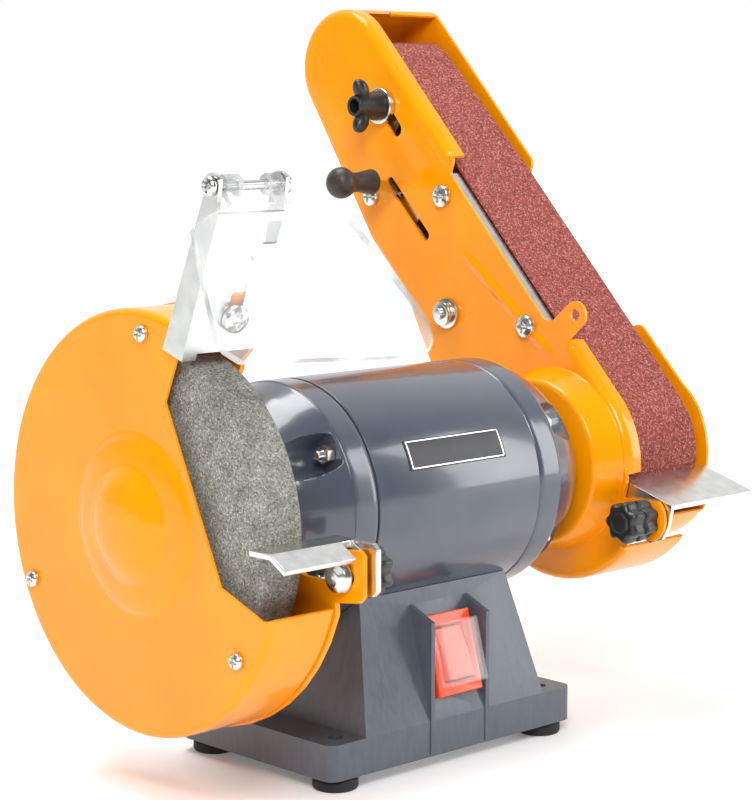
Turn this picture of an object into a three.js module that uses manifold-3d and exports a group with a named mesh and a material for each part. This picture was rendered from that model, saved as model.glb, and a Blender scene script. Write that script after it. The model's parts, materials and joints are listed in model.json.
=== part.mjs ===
// Bench grinder with a grinding wheel on the left and a belt sander arm on the right.
// Millimetres, +Z up, X along the motor axis, front towards -Y.
import * as THREE from 'three';
import { mergeVertices } from 'three/addons/utils/BufferGeometryUtils.js';
import Module from 'manifold-3d';

const wasm = await Module();
wasm.setup();

// Driving dimensions.
const GAP = 0.3;
const AXIS_H = 118.5;
const WHEEL_R = 75;
const WHEEL_W = 20;
const WHEEL_X = -132.4;
const MOTOR_R = 53.4;
const MOTOR_HALF = 49.7;
const BELL_END = 99.5;
const SHAFT_R = 9;
const SPINDLE_R = 6;
const BASE_HALF_X = 75.8;
const BASE_HALF_Y = 50.8;
const FOOT_H = 6;
const PLATE_TOP = 21.9;
const PED_BOTTOM_HALF_X = 55.6;
const PED_TOP_HALF_X = 45.3;
const PED_TOP_HALF_Y = 35.4;
const PED_TOP_Z = AXIS_H - 39.6;
const GUARD_R = WHEEL_R + 14.4;
const GUARD_FACE_X = WHEEL_X - 6.2;
const GUARD_RIM_X = -105;
const GUARD_SHEET = 1.6;
const ARM_TILT = THREE.MathUtils.degToRad(43.2);
const ARM_X = 117;
const ARM_SHEET = 1.6;
const PAN_DEPTH = 43.5;
const DRUM_R = 38.7;
const BELT_W = 50;
const BELT_X = 127.5;
const BELT_END = BELT_X + BELT_W;
const ARM_DEPTH = BELT_W + 19;
const ARM_BOTTOM_R = DRUM_R + 21.3;
const COVER_BOTTOM_R = DRUM_R + 9.3;
const BELT_T = 1.2;
const IDLER_R = 22;
const IDLER_U = 233.5;
const IDLER_N = 13.5;
const PLATEN_U0 = 41;
const PLATEN_U1 = 151;
const SLOPE = Math.atan((BASE_HALF_Y - PED_TOP_HALF_Y) / (PED_TOP_Z - PLATE_TOP));

// Colours.
const ORANGE = 0xffaa00;
const MOTOR_GREY = 0x5f6674;
const BASE_GREY = 0x747b88;
const ZINC = 0xcfcfca;
const STEEL = 0xb8babd;
const BLACK = 0x262626;
const RUBBER = 0x1c1c1d;
const STONE = 0x9c9c92;
const BELT = 0xa85a58;
const RED = 0xff5a2a;
const CLEAR = 0xe6ecec;
const COPPER = 0xb8733a;

const root = new THREE.Group();
root.name = 'bench_grinder';

// Solid helpers.
function faceOut(geometry) {
  const flat = geometry.index ? geometry.toNonIndexed() : geometry.clone();
  const at = flat.attributes.position;
  const a = new THREE.Vector3();
  const b = new THREE.Vector3();
  const c = new THREE.Vector3();
  let volume = 0;
  for (let i = 0; i < at.count; i += 3) {
    a.fromBufferAttribute(at, i);
    b.fromBufferAttribute(at, i + 1);
    c.fromBufferAttribute(at, i + 2);
    volume += a.dot(b.cross(c));
  }
  if (volume < 0) {
    for (let i = 0; i < at.count; i += 3) {
      b.fromBufferAttribute(at, i + 1);
      c.fromBufferAttribute(at, i + 2);
      at.setXYZ(i + 1, c.x, c.y, c.z);
      at.setXYZ(i + 2, b.x, b.y, b.z);
    }
  }
  return flat;
}

function toSolid(geometry) {
  const plain = faceOut(geometry);
  plain.deleteAttribute('normal');
  plain.deleteAttribute('uv');
  const welded = mergeVertices(plain, 1e-4);
  const mesh = new wasm.Mesh({
    numProp: 3,
    vertProperties: new Float32Array(welded.attributes.position.array),
    triVerts: new Uint32Array(welded.index.array),
  });
  mesh.merge();
  return new wasm.Manifold(mesh);
}

function fromSolid(solid) {
  const mesh = solid.getMesh();
  const geometry = new THREE.BufferGeometry();
  geometry.setAttribute('position', new THREE.BufferAttribute(new Float32Array(mesh.vertProperties), 3));
  geometry.setIndex(new THREE.BufferAttribute(new Uint32Array(mesh.triVerts), 1));
  return geometry;
}

function combine(base, joined, removed) {
  let solid = toSolid(base);
  for (const geometry of joined) {
    solid = solid.add(toSolid(geometry));
  }
  for (const geometry of removed) {
    solid = solid.subtract(toSolid(geometry));
  }
  return fromSolid(solid);
}

function addPart(name, geometry, color) {
  const material = new THREE.MeshStandardMaterial({ color });
  material.name = name;
  const flat = faceOut(geometry);
  flat.deleteAttribute('normal');
  flat.computeVertexNormals();
  const mesh = new THREE.Mesh(flat, material);
  mesh.name = name;
  root.add(mesh);
}

// Frame helpers: u runs up the sander arm, n runs out of its belt face.
const ARM_U = new THREE.Vector3(0, Math.sin(ARM_TILT), Math.cos(ARM_TILT));
const ARM_N = new THREE.Vector3(0, -Math.cos(ARM_TILT), Math.sin(ARM_TILT));
const AXIS_X = new THREE.Vector3(1, 0, 0);

function place(geometry, axisA, axisB, axisC, origin) {
  const matrix = new THREE.Matrix4().makeBasis(axisA, axisB, axisC).setPosition(origin);
  return geometry.applyMatrix4(matrix);
}

function axisPoint(x) {
  return new THREE.Vector3(x, 0, AXIS_H);
}

function polygon(points) {
  const shape = new THREE.Shape(points.map((p) => new THREE.Vector2(p[0], p[1])));
  return shape;
}

function circlePoints(a, b, radius, count) {
  const points = [];
  for (let i = 0; i < count; i += 1) {
    const angle = (2 * Math.PI * i) / count;
    points.push([a + radius * Math.cos(angle), b + radius * Math.sin(angle)]);
  }
  return points;
}

function arc(a, b, radius, fromDeg, toDeg, count) {
  const points = [];
  for (let i = 0; i <= count; i += 1) {
    const angle = THREE.MathUtils.degToRad(fromDeg + ((toDeg - fromDeg) * i) / count);
    points.push([a + radius * Math.cos(angle), b + radius * Math.sin(angle)]);
  }
  return points;
}

function withHoles(shape, holes) {
  for (const hole of holes) {
    shape.holes.push(new THREE.Path(hole.map((p) => new THREE.Vector2(p[0], p[1]))));
  }
  return shape;
}

function slotPoints(a0, b0, a1, b1, radius, count) {
  const heading = THREE.MathUtils.radToDeg(Math.atan2(b1 - b0, a1 - a0));
  const end = arc(a1, b1, radius, heading - 90, heading + 90, count);
  const start = arc(a0, b0, radius, heading + 90, heading + 270, count);
  return [...end, ...start];
}

function extrude(shape, depth) {
  return new THREE.ExtrudeGeometry(shape, { depth, bevelEnabled: false, curveSegments: 12 });
}

// Flat outline (y, z above the motor axis) given thickness along X.
function sideSlab(shape, x0, x1) {
  const y = new THREE.Vector3(0, 1, 0);
  const z = new THREE.Vector3(0, 0, 1);
  return place(extrude(shape, x1 - x0), y, z, AXIS_X, axisPoint(x0));
}

// Flat outline (u, n) of the sander arm given thickness along X.
function armSlab(shape, x0, x1) {
  return place(extrude(shape, x1 - x0), ARM_U, ARM_N, AXIS_X, axisPoint(x0));
}

// Closed (x, r) profile turned about an axis along X through (y, z above the motor axis).
function turned(profile, segments, y = 0, z = 0) {
  const points = profile.map((p) => new THREE.Vector2(p[1], p[0]));
  points.push(points[0].clone());
  const geometry = new THREE.LatheGeometry(points, segments);
  const a = new THREE.Vector3(0, 0, -1);
  const c = new THREE.Vector3(0, -1, 0);
  return place(geometry, a, AXIS_X, c, new THREE.Vector3(0, y, AXIS_H + z));
}

function bar(x0, x1, radius, segments, y = 0, z = 0) {
  return sideSlab(polygon(circlePoints(y, z, radius, segments)), x0, x1);
}

function box(x0, x1, y0, y1, z0, z1) {
  const geometry = new THREE.BoxGeometry(x1 - x0, y1 - y0, z1 - z0);
  return geometry.translate((x0 + x1) / 2, (y0 + y1) / 2, (z0 + z1) / 2);
}

function armPoint(u, n) {
  return [u * ARM_U.y + n * ARM_N.y, u * ARM_U.z + n * ARM_N.z];
}

function rectFrustum(halfX0, halfY0, z0, halfX1, halfY1, z1) {
  const shape = polygon([[-halfX0, -halfY0], [halfX0, -halfY0], [halfX0, halfY0], [-halfX0, halfY0]]);
  const geometry = extrude(shape, z1 - z0);
  const position = geometry.attributes.position;
  for (let i = 0; i < position.count; i += 1) {
    if (position.getZ(i) > 0.5 * (z1 - z0)) {
      position.setX(i, Math.sign(position.getX(i)) * halfX1);
      position.setY(i, Math.sign(position.getY(i)) * halfY1);
    }
  }
  return geometry.translate(0, 0, z0);
}

function roundedRect(halfA, halfB, radius, steps) {
  return [
    ...arc(halfA - radius, halfB - radius, radius, 0, 90, steps),
    ...arc(-halfA + radius, halfB - radius, radius, 90, 180, steps),
    ...arc(-halfA + radius, -halfB + radius, radius, 180, 270, steps),
    ...arc(halfA - radius, -halfB + radius, radius, 270, 360, steps),
  ];
}

// Moves every edge of a counter-clockwise outline inwards.
function inset(points, amount) {
  const result = [];
  const count = points.length;
  for (let i = 0; i < count; i += 1) {
    const before = points[(i + count - 1) % count];
    const here = points[i];
    const after = points[(i + 1) % count];
    const a = new THREE.Vector2(here[0] - before[0], here[1] - before[1]).normalize();
    const b = new THREE.Vector2(after[0] - here[0], after[1] - here[1]).normalize();
    const na = new THREE.Vector2(-a.y, a.x);
    const nb = new THREE.Vector2(-b.y, b.x);
    const mid = na.clone().add(nb).normalize();
    const reach = amount / Math.max(0.35, mid.dot(na));
    result.push([here[0] + mid.x * reach, here[1] + mid.y * reach]);
  }
  return result;
}

// ---- Base ----
const SWITCH_X = 1.2;
const SWITCH_Z = PLATE_TOP + ((PED_TOP_Z - PLATE_TOP) * 7) / 15;
const CHEEK_HALF = 16;
const CHEEK_T = 2.2;
const FOOT_R = 10;
const HOLLOW_Z0 = FOOT_H + 3;
const HOLLOW_Z1 = PED_TOP_Z - 20.9;
const BOLT_X = 64;
const BOLT_Y = 40.4;
const slopeUp = new THREE.Vector3(0, Math.sin(SLOPE), Math.cos(SLOPE));
const slopeOut = new THREE.Vector3(0, -Math.cos(SLOPE), Math.sin(SLOPE));

function faceY(z) {
  return -BASE_HALF_Y + (z - PLATE_TOP) * Math.tan(SLOPE);
}

// Box in the switch's own frame: a along X, t up the slope, m out of the face.
function switchBox(a0, a1, t0, t1, m0, m1) {
  const shape = polygon([[a0, t0], [a1, t0], [a1, t1], [a0, t1]]);
  const origin = new THREE.Vector3(SWITCH_X, faceY(SWITCH_Z), SWITCH_Z).addScaledVector(slopeOut, m0);
  return place(extrude(shape, m1 - m0), AXIS_X, slopeUp, slopeOut, origin);
}

function cheek(x0) {
  const top = PED_TOP_Z - 6.9;
  const bottom = FOOT_H + 1;
  const points = [
    [faceY(top) + 3, top + 0.5 - AXIS_H],
    [faceY(top), top - AXIS_H],
    [-BASE_HALF_Y - 0.5, top - 6 - AXIS_H],
    [-BASE_HALF_Y - 0.5, bottom - AXIS_H],
    [4 - BASE_HALF_Y, bottom - AXIS_H],
  ];
  return sideSlab(polygon(points), x0, x0 + CHEEK_T);
}

function makeBase() {
  const plate = extrude(polygon(roundedRect(BASE_HALF_X, BASE_HALF_Y, 5, 3)), PLATE_TOP - FOOT_H);
  plate.translate(0, 0, FOOT_H);
  const foot = rectFrustum(PED_BOTTOM_HALF_X, BASE_HALF_Y, 12, PED_BOTTOM_HALF_X, BASE_HALF_Y, PLATE_TOP);
  const pedestal = rectFrustum(PED_BOTTOM_HALF_X, BASE_HALF_Y, PLATE_TOP,
    PED_TOP_HALF_X, PED_TOP_HALF_Y, PED_TOP_Z);
  const hollow = rectFrustum(51, 46, HOLLOW_Z0, 43, 35, HOLLOW_Z1);
  const mouth = box(-51, 51, -46, 46, FOOT_H - 1, HOLLOW_Z0 + 0.01);
  const saddle = bar(-70, 70, MOTOR_R + GAP, 36);
  const window = switchBox(-11.3, 11.3, -15.3, 15.3, -17, 6);
  const inlet = place(extrude(polygon(circlePoints(0, 0, 7.3, 20)), 20), AXIS_X,
    new THREE.Vector3(0, 0, 1), new THREE.Vector3(0, -1, 0), new THREE.Vector3(20, 55, 30));
  const removed = [hollow, mouth, saddle, window, inlet];
  for (const sx of [-1, 1]) {
    for (const sy of [-1, 1]) {
      const hole = extrude(polygon(circlePoints(0, 0, 3.4, 16)), 30);
      removed.push(hole.translate(sx * BOLT_X, sy * BOLT_Y, 0));
    }
  }
  const left = cheek(SWITCH_X - CHEEK_HALF - CHEEK_T);
  const right = cheek(SWITCH_X + CHEEK_HALF);
  addPart('base_casting', combine(plate, [foot, pedestal, left, right], removed), BASE_GREY);
  addPart('base_cover_plate', box(-50.6, 50.6, -45.6, 45.6, FOOT_H + 0.2, FOOT_H + 1.7), ZINC);
}

function makeFeet() {
  const bore = 3.6;
  const profile = [
    [bore, 0], [FOOT_R - 0.8, 0], [FOOT_R, 0.8], [FOOT_R, FOOT_H - GAP], [bore, FOOT_H - GAP], [bore, 0],
  ];
  for (const [side, sx] of [['left', -1], ['right', 1]]) {
    for (const [end, sy] of [['front', -1], ['back', 1]]) {
      const points = profile.map((p) => new THREE.Vector2(p[0], p[1]));
      const foot = new THREE.LatheGeometry(points, 18).rotateX(Math.PI / 2);
      foot.translate(sx * BOLT_X, sy * BOLT_Y, 0);
      addPart(`foot_${end}_${side}`, foot, RUBBER);
    }
  }
}

function makeElectrics() {
  const frame = switchBox(-13.5, 13.5, -18.2, 18.2, GAP, 4);
  const body = switchBox(-11, 11, -15, 15, -14, 1);
  const well = switchBox(-8.6, 8.6, -12.6, 12.6, -3, 6);
  addPart('switch_body', combine(frame, [body], [well]), RED);
  const rocker = polygon([[-11.6, 0.8], [0, -2.2], [11.6, 0.8], [11.6, 2.2], [0, 4.6], [-11.6, 6.4]]);
  const origin = new THREE.Vector3(SWITCH_X - 8.2, faceY(SWITCH_Z), SWITCH_Z).addScaledVector(slopeOut, 0);
  addPart('switch_rocker', place(extrude(rocker, 16.4), slopeUp, slopeOut, AXIS_X, origin), RED);
  const boot = switchBox(-11.6, 11.6, -14.2, 14.2, 4.3, 10.4);
  const bootHollow = switchBox(-10.4, 10.4, -13.4, 13.4, 4, 9.4);
  addPart('switch_boot', combine(boot, [], [bootHollow]), CLEAR);
  const share = (HOLLOW_Z1 - HOLLOW_Z0) / 49;
  const can = place(extrude(polygon(circlePoints(0, 0, 12 * share, 20)), 45), new THREE.Vector3(0, 1, 0),
    new THREE.Vector3(0, 0, 1), AXIS_X, new THREE.Vector3(-46, 8, HOLLOW_Z0 + 17 * share));
  addPart('capacitor', can, BLACK);
  const bush = new THREE.LatheGeometry([new THREE.Vector2(3.5, -5), new THREE.Vector2(9, -5),
    new THREE.Vector2(9.5, -0.6), new THREE.Vector2(6.9, -0.6), new THREE.Vector2(6.9, 9),
    new THREE.Vector2(3.5, 9), new THREE.Vector2(3.5, -5)], 24);
  bush.rotateZ(Math.PI);
  bush.translate(20, 3.2 - faceY(30), 30);
  addPart('cable_inlet', bush, RUBBER);
}

// ---- Motor ----
const TIE_R = MOTOR_R - 6.8;
const MOTOR_SCALE = MOTOR_R / 53.4;
const TIE_ANGLES = [34, 146, 214, 326];

function makeMotor() {
  const k = MOTOR_SCALE;
  const bore = MOTOR_R - 2.5;
  const spigot = MOTOR_R - 3;
  const shell = [[-MOTOR_HALF, bore], [MOTOR_HALF, bore], [MOTOR_HALF, MOTOR_R], [-MOTOR_HALF, MOTOR_R]];
  addPart('motor_shell', turned(shell, 36), MOTOR_GREY);
  const bell = [
    [50, spigot], [60, spigot], [60, 33 * k], [80, 24 * k], [80, 16.3], [94, 16.3], [94, SHAFT_R + 1],
    [BELL_END, SHAFT_R + 1], [BELL_END, 28.5 * k], [93, 36 * k], [84, 43.6 * k], [75, 48.6 * k], [67, 51.6 * k],
    [63.5, MOTOR_R], [50, MOTOR_R],
  ];
  const left = bell.map((p) => [-p[0], p[1]]).reverse();
  const cutsRight = [];
  const cutsLeft = [];
  for (const degrees of TIE_ANGLES) {
    const y = TIE_R * Math.cos(THREE.MathUtils.degToRad(degrees));
    const z = TIE_R * Math.sin(THREE.MathUtils.degToRad(degrees));
    cutsRight.push(bar(65, 110, 9, 12, y, z), bar(40, 70, 2.4, 8, y, z));
    cutsLeft.push(bar(-110, -65, 9, 12, y, z), bar(-70, -40, 2.4, 8, y, z));
  }
  addPart('end_bell_right', combine(turned(bell, 36), [], cutsRight), MOTOR_GREY);
  addPart('end_bell_left', combine(turned(left, 36), [], cutsLeft), MOTOR_GREY);
  const core = withHoles(polygon(circlePoints(0, 0, spigot, 36)), [circlePoints(0, 0, 30.2 * k, 24)]);
  for (const degrees of TIE_ANGLES) {
    const y = TIE_R * Math.cos(THREE.MathUtils.degToRad(degrees));
    const z = TIE_R * Math.sin(THREE.MathUtils.degToRad(degrees));
    withHoles(core, [circlePoints(y, z, 2.6, 8)]);
  }
  const coil = turned([[-38, 32.5 * k], [38, 32.5 * k], [38, 40.5 * k], [-38, 40.5 * k]], 24);
  addPart('stator', combine(sideSlab(core, -25, 25), [coil], []), COPPER);
  for (const side of [-1, 1]) {
    const section = [[84, SHAFT_R + GAP], [93.5, SHAFT_R + GAP], [93.5, 16], [84, 16]];
    const race = section.map((p) => [side * p[0], p[1]]);
    addPart(side < 0 ? 'bearing_left' : 'bearing_right', turned(side < 0 ? race.reverse() : race, 24), STEEL);
  }
  const rotor = [[-26, SHAFT_R + GAP], [26, SHAFT_R + GAP], [26, 29.5 * k], [-26, 29.5 * k]];
  addPart('rotor', turned(rotor, 24), STEEL);
}

function makeTieBolts() {
  TIE_ANGLES.forEach((degrees, index) => {
    const y = TIE_R * Math.cos(THREE.MathUtils.degToRad(degrees));
    const z = TIE_R * Math.sin(THREE.MathUtils.degToRad(degrees));
    const rod = bar(-73, 69, 2, 8, y, z);
    const nut = bar(-69.4, -65.4, 4.1, 6, y, z);
    const head = bar(65.4, 69, 4.1, 6, y, z);
    addPart(`tie_bolt_${index + 1}`, combine(rod, [nut, head], []), ZINC);
  });
}

function makeNameplate() {
  const inner = arc(0, 0, MOTOR_R + GAP, 148, 162.5, 6);
  const outer = arc(0, 0, MOTOR_R + 0.9, 162.5, 148, 6);
  addPart('nameplate', sideSlab(polygon([...inner, ...outer].reverse()), -29.4, 29.4), BLACK);
}

// ---- Spindle and grinding wheel ----
function makeSpindle() {
  const profile = [
    [-146, 0], [-146, SPINDLE_R - 0.8], [-145, SPINDLE_R], [-107, SPINDLE_R], [-107, SHAFT_R],
    [107, SHAFT_R], [107, SPINDLE_R], [BELT_END + 4.5, SPINDLE_R], [BELT_END + 5.5, SPINDLE_R - 0.8],
    [BELT_END + 5.5, 0],
  ];
  addPart('spindle', turned(profile, 16), STEEL);
}

function spindleNut(x0, x1) {
  const bore = circlePoints(0, 0, SPINDLE_R + GAP, 20);
  return sideSlab(withHoles(polygon(circlePoints(0, 0, SPINDLE_R + 4.9, 6)), [bore]), x0, x1);
}

function makeWheel() {
  const x0 = WHEEL_X;
  const x1 = WHEEL_X + WHEEL_W;
  const bore = SPINDLE_R + GAP;
  const edge = 0.8;
  const wheel = [
    [x0, bore], [x1, bore], [x1, WHEEL_R - edge], [x1 - edge, WHEEL_R], [x0 + edge, WHEEL_R], [x0, WHEEL_R - edge],
  ];
  addPart('grinding_wheel', turned(wheel, 40), STONE);
  const inner = [[x1 + GAP, bore], [-107.3, bore], [-107.3, 16], [x1 + 2, 25], [x1 + GAP, 25]];
  addPart('inner_flange', turned(inner, 20), STEEL);
  const outer = [[x0 - 3.4, bore], [x0 - GAP, bore], [x0 - GAP, 25], [x0 - 2, 25], [x0 - 3.4, 16]];
  addPart('outer_flange', turned(outer, 20), STEEL);
  addPart('spindle_nut_left', spindleNut(x0 - 10.7, x0 - 3.7), STEEL);
  addPart('spindle_nut_right', spindleNut(BELT_END - 0.5, BELT_END + 4.5), STEEL);
}

// ---- Wheel guard ----
const GUARD_SCALE = WHEEL_R / 75;
const LEFT_BOLT = [-WHEEL_R - 14.2, -12.9];
const GUARD_SCREW_R = GUARD_R - 9.4;
const GUARD_SCREWS = [95, 215, 335];

// A point (y, z) of the guard that keeps its place on the wheel's size.
function onGuard(y, z) {
  return [y * GUARD_SCALE, z * GUARD_SCALE];
}

function fromBolt(y, z) {
  return [LEFT_BOLT[0] + y, LEFT_BOLT[1] + z];
}

function guardScrewAt(degrees) {
  const angle = THREE.MathUtils.degToRad(degrees);
  return [GUARD_SCREW_R * Math.cos(angle), GUARD_SCREW_R * Math.sin(angle)];
}

function makeGuardCover() {
  const t = GUARD_SHEET;
  const x = GUARD_FACE_X;
  const outer = [
    [x - 10.6, 0], [x - 9.9, 11], [x - 7.6, 19], [x - 4.4, 24.5], [x - 2.8, 31], [x, 38],
    [x, GUARD_R - 3], [x + 0.9, GUARD_R - 0.9], [x + 3, GUARD_R], [GUARD_RIM_X, GUARD_R],
  ];
  const inner = [
    [GUARD_RIM_X, GUARD_R - t], [x + 3, GUARD_R - t], [x + t, GUARD_R - 3],
    [x + t, 38.6], [x - 1.2, 31.6], [x - 2.9, 25.4], [x - 6.2, 19.6], [x - 8.3, 11], [x - 9, 0],
  ];
  const pan = turned([...outer, ...inner].reverse(), 40);
  const opening = [
    onGuard(-140, -20), onGuard(-80, -27.5), onGuard(-54.5, -18.1), onGuard(-20.5, 52.7), onGuard(-28, 70),
    onGuard(-33, 82), onGuard(-60, 140), onGuard(-140, 120),
  ];
  const removed = [sideSlab(polygon(opening.reverse()), x - 8, GUARD_RIM_X + 5)];
  for (const degrees of GUARD_SCREWS) {
    const [a, b] = guardScrewAt(degrees);
    removed.push(bar(x - 2, x + 4, 2.4, 12, a, b));
  }
  addPart('guard_cover', combine(pan, [], removed), ORANGE);
}

const BRACKET_TILT = THREE.MathUtils.degToRad(21.8);
const BRACKET_FOOT = onGuard(-35, 70.7);
const bracketUp = new THREE.Vector3(0, -Math.sin(BRACKET_TILT), Math.cos(BRACKET_TILT));
const bracketOut = new THREE.Vector3(0, -Math.cos(BRACKET_TILT), -Math.sin(BRACKET_TILT));
const HINGE = [BRACKET_FOOT[0] - 19.8, BRACKET_FOOT[1] + 70.1];
const BRACKET_BOLT_X = -120;
const BRACKET_BOLT_S = 18.2;

function fromFoot(y, z) {
  return [BRACKET_FOOT[0] + y, BRACKET_FOOT[1] + z];
}

// Slab in the bracket's front plane: x, s up the plane; m counts outwards from the front face.
function bracketSlab(shape, m0, m1) {
  const origin = new THREE.Vector3(0, BRACKET_FOOT[0], AXIS_H + BRACKET_FOOT[1]).addScaledVector(bracketOut, m0);
  return place(extrude(shape, m1 - m0), AXIS_X, bracketUp, bracketOut, origin);
}

function guardBackOutline() {
  return [
    ...arc(0, 0, GUARD_R + 1.1, -161, 108, 32),
    onGuard(-27.7, 64.7), onGuard(-20, 50), onGuard(-44, -4), onGuard(-56, -4),
    fromBolt(-10.2, 11.3), fromBolt(-12.2, 9.3), fromBolt(-12.2, -7.1), fromBolt(-9.5, -9.7), fromBolt(3.9, -11.5),
  ];
}

function makeGuardBack() {
  const slot = slotPoints(...fromBolt(-3.8, 0), ...fromBolt(22.2, 0), 3.4, 5);
  const holes = [circlePoints(0, 0, 20, 24), slot];
  for (const degrees of GUARD_SCREWS) {
    const [a, b] = guardScrewAt(degrees);
    holes.push(circlePoints(a, b, 2.4, 12));
  }
  const plate = sideSlab(withHoles(polygon(guardBackOutline()), holes), -104.6, -102.2);
  const tabOutline = polygon([[-131, 9], [-102.2, 9], [-102.2, 27], [-131, 27]]);
  const tabHole = circlePoints(BRACKET_BOLT_X, BRACKET_BOLT_S, 3.3, 12);
  const tab = bracketSlab(withHoles(tabOutline, [tabHole]), -4.4, -2.4);
  const gussetOutline = polygon([
    fromFoot(-7.8, 25.9), fromFoot(-1.1, 9.2), fromFoot(2, 1.5), fromFoot(9, -4.7), fromFoot(15, 13.3),
    fromFoot(5, 19.3),
  ]);
  const gusset = sideSlab(gussetOutline, -104.6, -102.2);
  addPart('guard_back_plate', combine(plate, [tab, gusset], []), ORANGE);
}

function makeGuardScrews() {
  GUARD_SCREWS.forEach((degrees, index) => {
    const [a, b] = guardScrewAt(degrees);
    const x = GUARD_FACE_X;
    const profile = [
      [x - 3.4, 0], [x - 2.9, 2.2], [x - 1.6, 3.4], [x - GAP, 3.6], [x - GAP, 2], [-101.9, 2], [-101.9, 3.9],
      [-98.6, 3.9], [-97, 2.6], [-96.4, 0],
    ];
    addPart(`guard_screw_${index + 1}`, turned(profile.reverse(), 10, a, b), ZINC);
  });
}

// ---- Spark bracket and eye shield ----
function makeBracket() {
  const face = withHoles(
    polygon([[-141, 0], [-134, 0], [-134, 3], [-99.5, 3], [-105, 64], [-141, 64]]),
    [slotPoints(BRACKET_BOLT_X, 17.2, BRACKET_BOLT_X, 42, 3.6, 6), [[-114, 50], [-107, 50], [-107, 60], [-114, 60]]],
  );
  const front = bracketSlab(face, -1.8, 0);
  const side = withHoles(
    polygon([
      BRACKET_FOOT, fromFoot(12.2, 4.1), fromFoot(-14.6, 66.5), ...arc(HINGE[0], HINGE[1], 5.4, 0, 150, 8),
      fromFoot(-22, 55.3),
    ]),
    [circlePoints(HINGE[0], HINGE[1], 2.3, 12)],
  );
  const left = sideSlab(side, -141, -139.2);
  const ear = withHoles(
    polygon([
      fromFoot(-16, 40.3), fromFoot(-11, 42.3), fromFoot(-14.4, 68.3), ...arc(HINGE[0], HINGE[1], 5.4, 0, 150, 8),
      fromFoot(-22, 55.3),
    ]),
    [circlePoints(HINGE[0], HINGE[1], 2.3, 12)],
  );
  const right = sideSlab(ear, -106.8, -105);
  addPart('shield_bracket', combine(front, [left, right], []), ZINC);
  const profile = [[-9.5, 0], [-9.5, 4.2], [-4.7, 4.2], [-4.7, 3], [GAP, 3], [GAP, 6], [3.6, 6], [5, 3], [5.4, 0]];
  const points = profile.map((p) => new THREE.Vector2(p[1], p[0]));
  const bolt = new THREE.LatheGeometry(points, 12);
  const base = new THREE.Vector3(BRACKET_BOLT_X, BRACKET_FOOT[0], AXIS_H + BRACKET_FOOT[1]);
  base.addScaledVector(bracketUp, BRACKET_BOLT_S);
  addPart('bracket_bolt', place(bolt, AXIS_X, bracketOut, AXIS_X.clone().cross(bracketOut), base), ZINC);
}

const SHIELD_LEAN = THREE.MathUtils.degToRad(38);
const shieldDown = new THREE.Vector3(0, -Math.sin(SHIELD_LEAN), -Math.cos(SHIELD_LEAN));
const SHIELD_T = 3;

function makeShield() {
  const outline = [
    [-136.5, 9.5], [-157.5, 16.5], [-160.8, 19.5], [-168, 44], [-174, 68], [-173.4, 74], [-168, 79.2],
    [-86, 84.6], [-74, 83.5], [-69, 79], [-66.6, 70], [-67.4, 62], [-78, 22], [-80.6, 17.8], [-103.5, 9.5],
  ];
  const toFront = AXIS_X.clone().cross(shieldDown);
  const origin = new THREE.Vector3(0, HINGE[0], AXIS_H + HINGE[1]).addScaledVector(toFront, -SHIELD_T / 2);
  const sheet = place(extrude(polygon(outline.slice().reverse()), SHIELD_T), AXIS_X, shieldDown, toFront, origin);
  const lugs = [];
  for (const [x0, x1] of [[-136.5, -128], [-113.5, -107.2]]) {
    const lug = extrude(polygon([[x0, 0], [x1, 0], [x1, 11], [x0, 11]]), SHIELD_T);
    lugs.push(place(lug, AXIS_X, shieldDown, toFront, origin), bar(x0, x1, 4.6, 16, HINGE[0], HINGE[1]));
  }
  const hole = bar(-150, -90, 2.3, 14, HINGE[0], HINGE[1]);
  addPart('eye_shield', combine(sheet, lugs, [hole]), CLEAR);
  const pin = [
    [-144.2, 0], [-143.6, 3.4], [-141.3, 4], [-141.3, 2], [-104.7, 2], [-104.7, 4], [-101.8, 4], [-101.8, 0],
  ];
  addPart('shield_hinge_pin', turned(pin.reverse(), 10, HINGE[0], HINGE[1]), ZINC);
}

// ---- Left tool rest ----
function lobedKnob(x0, x1, y, z, radius, lobes) {
  const points = [];
  for (let i = 0; i < lobes * 4; i += 1) {
    const angle = (2 * Math.PI * i) / (lobes * 4);
    const reach = radius * (1 + 0.11 * Math.cos(lobes * angle));
    points.push([y + reach * Math.cos(angle), z + reach * Math.sin(angle)]);
  }
  return sideSlab(polygon(points), x0, x1);
}

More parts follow.
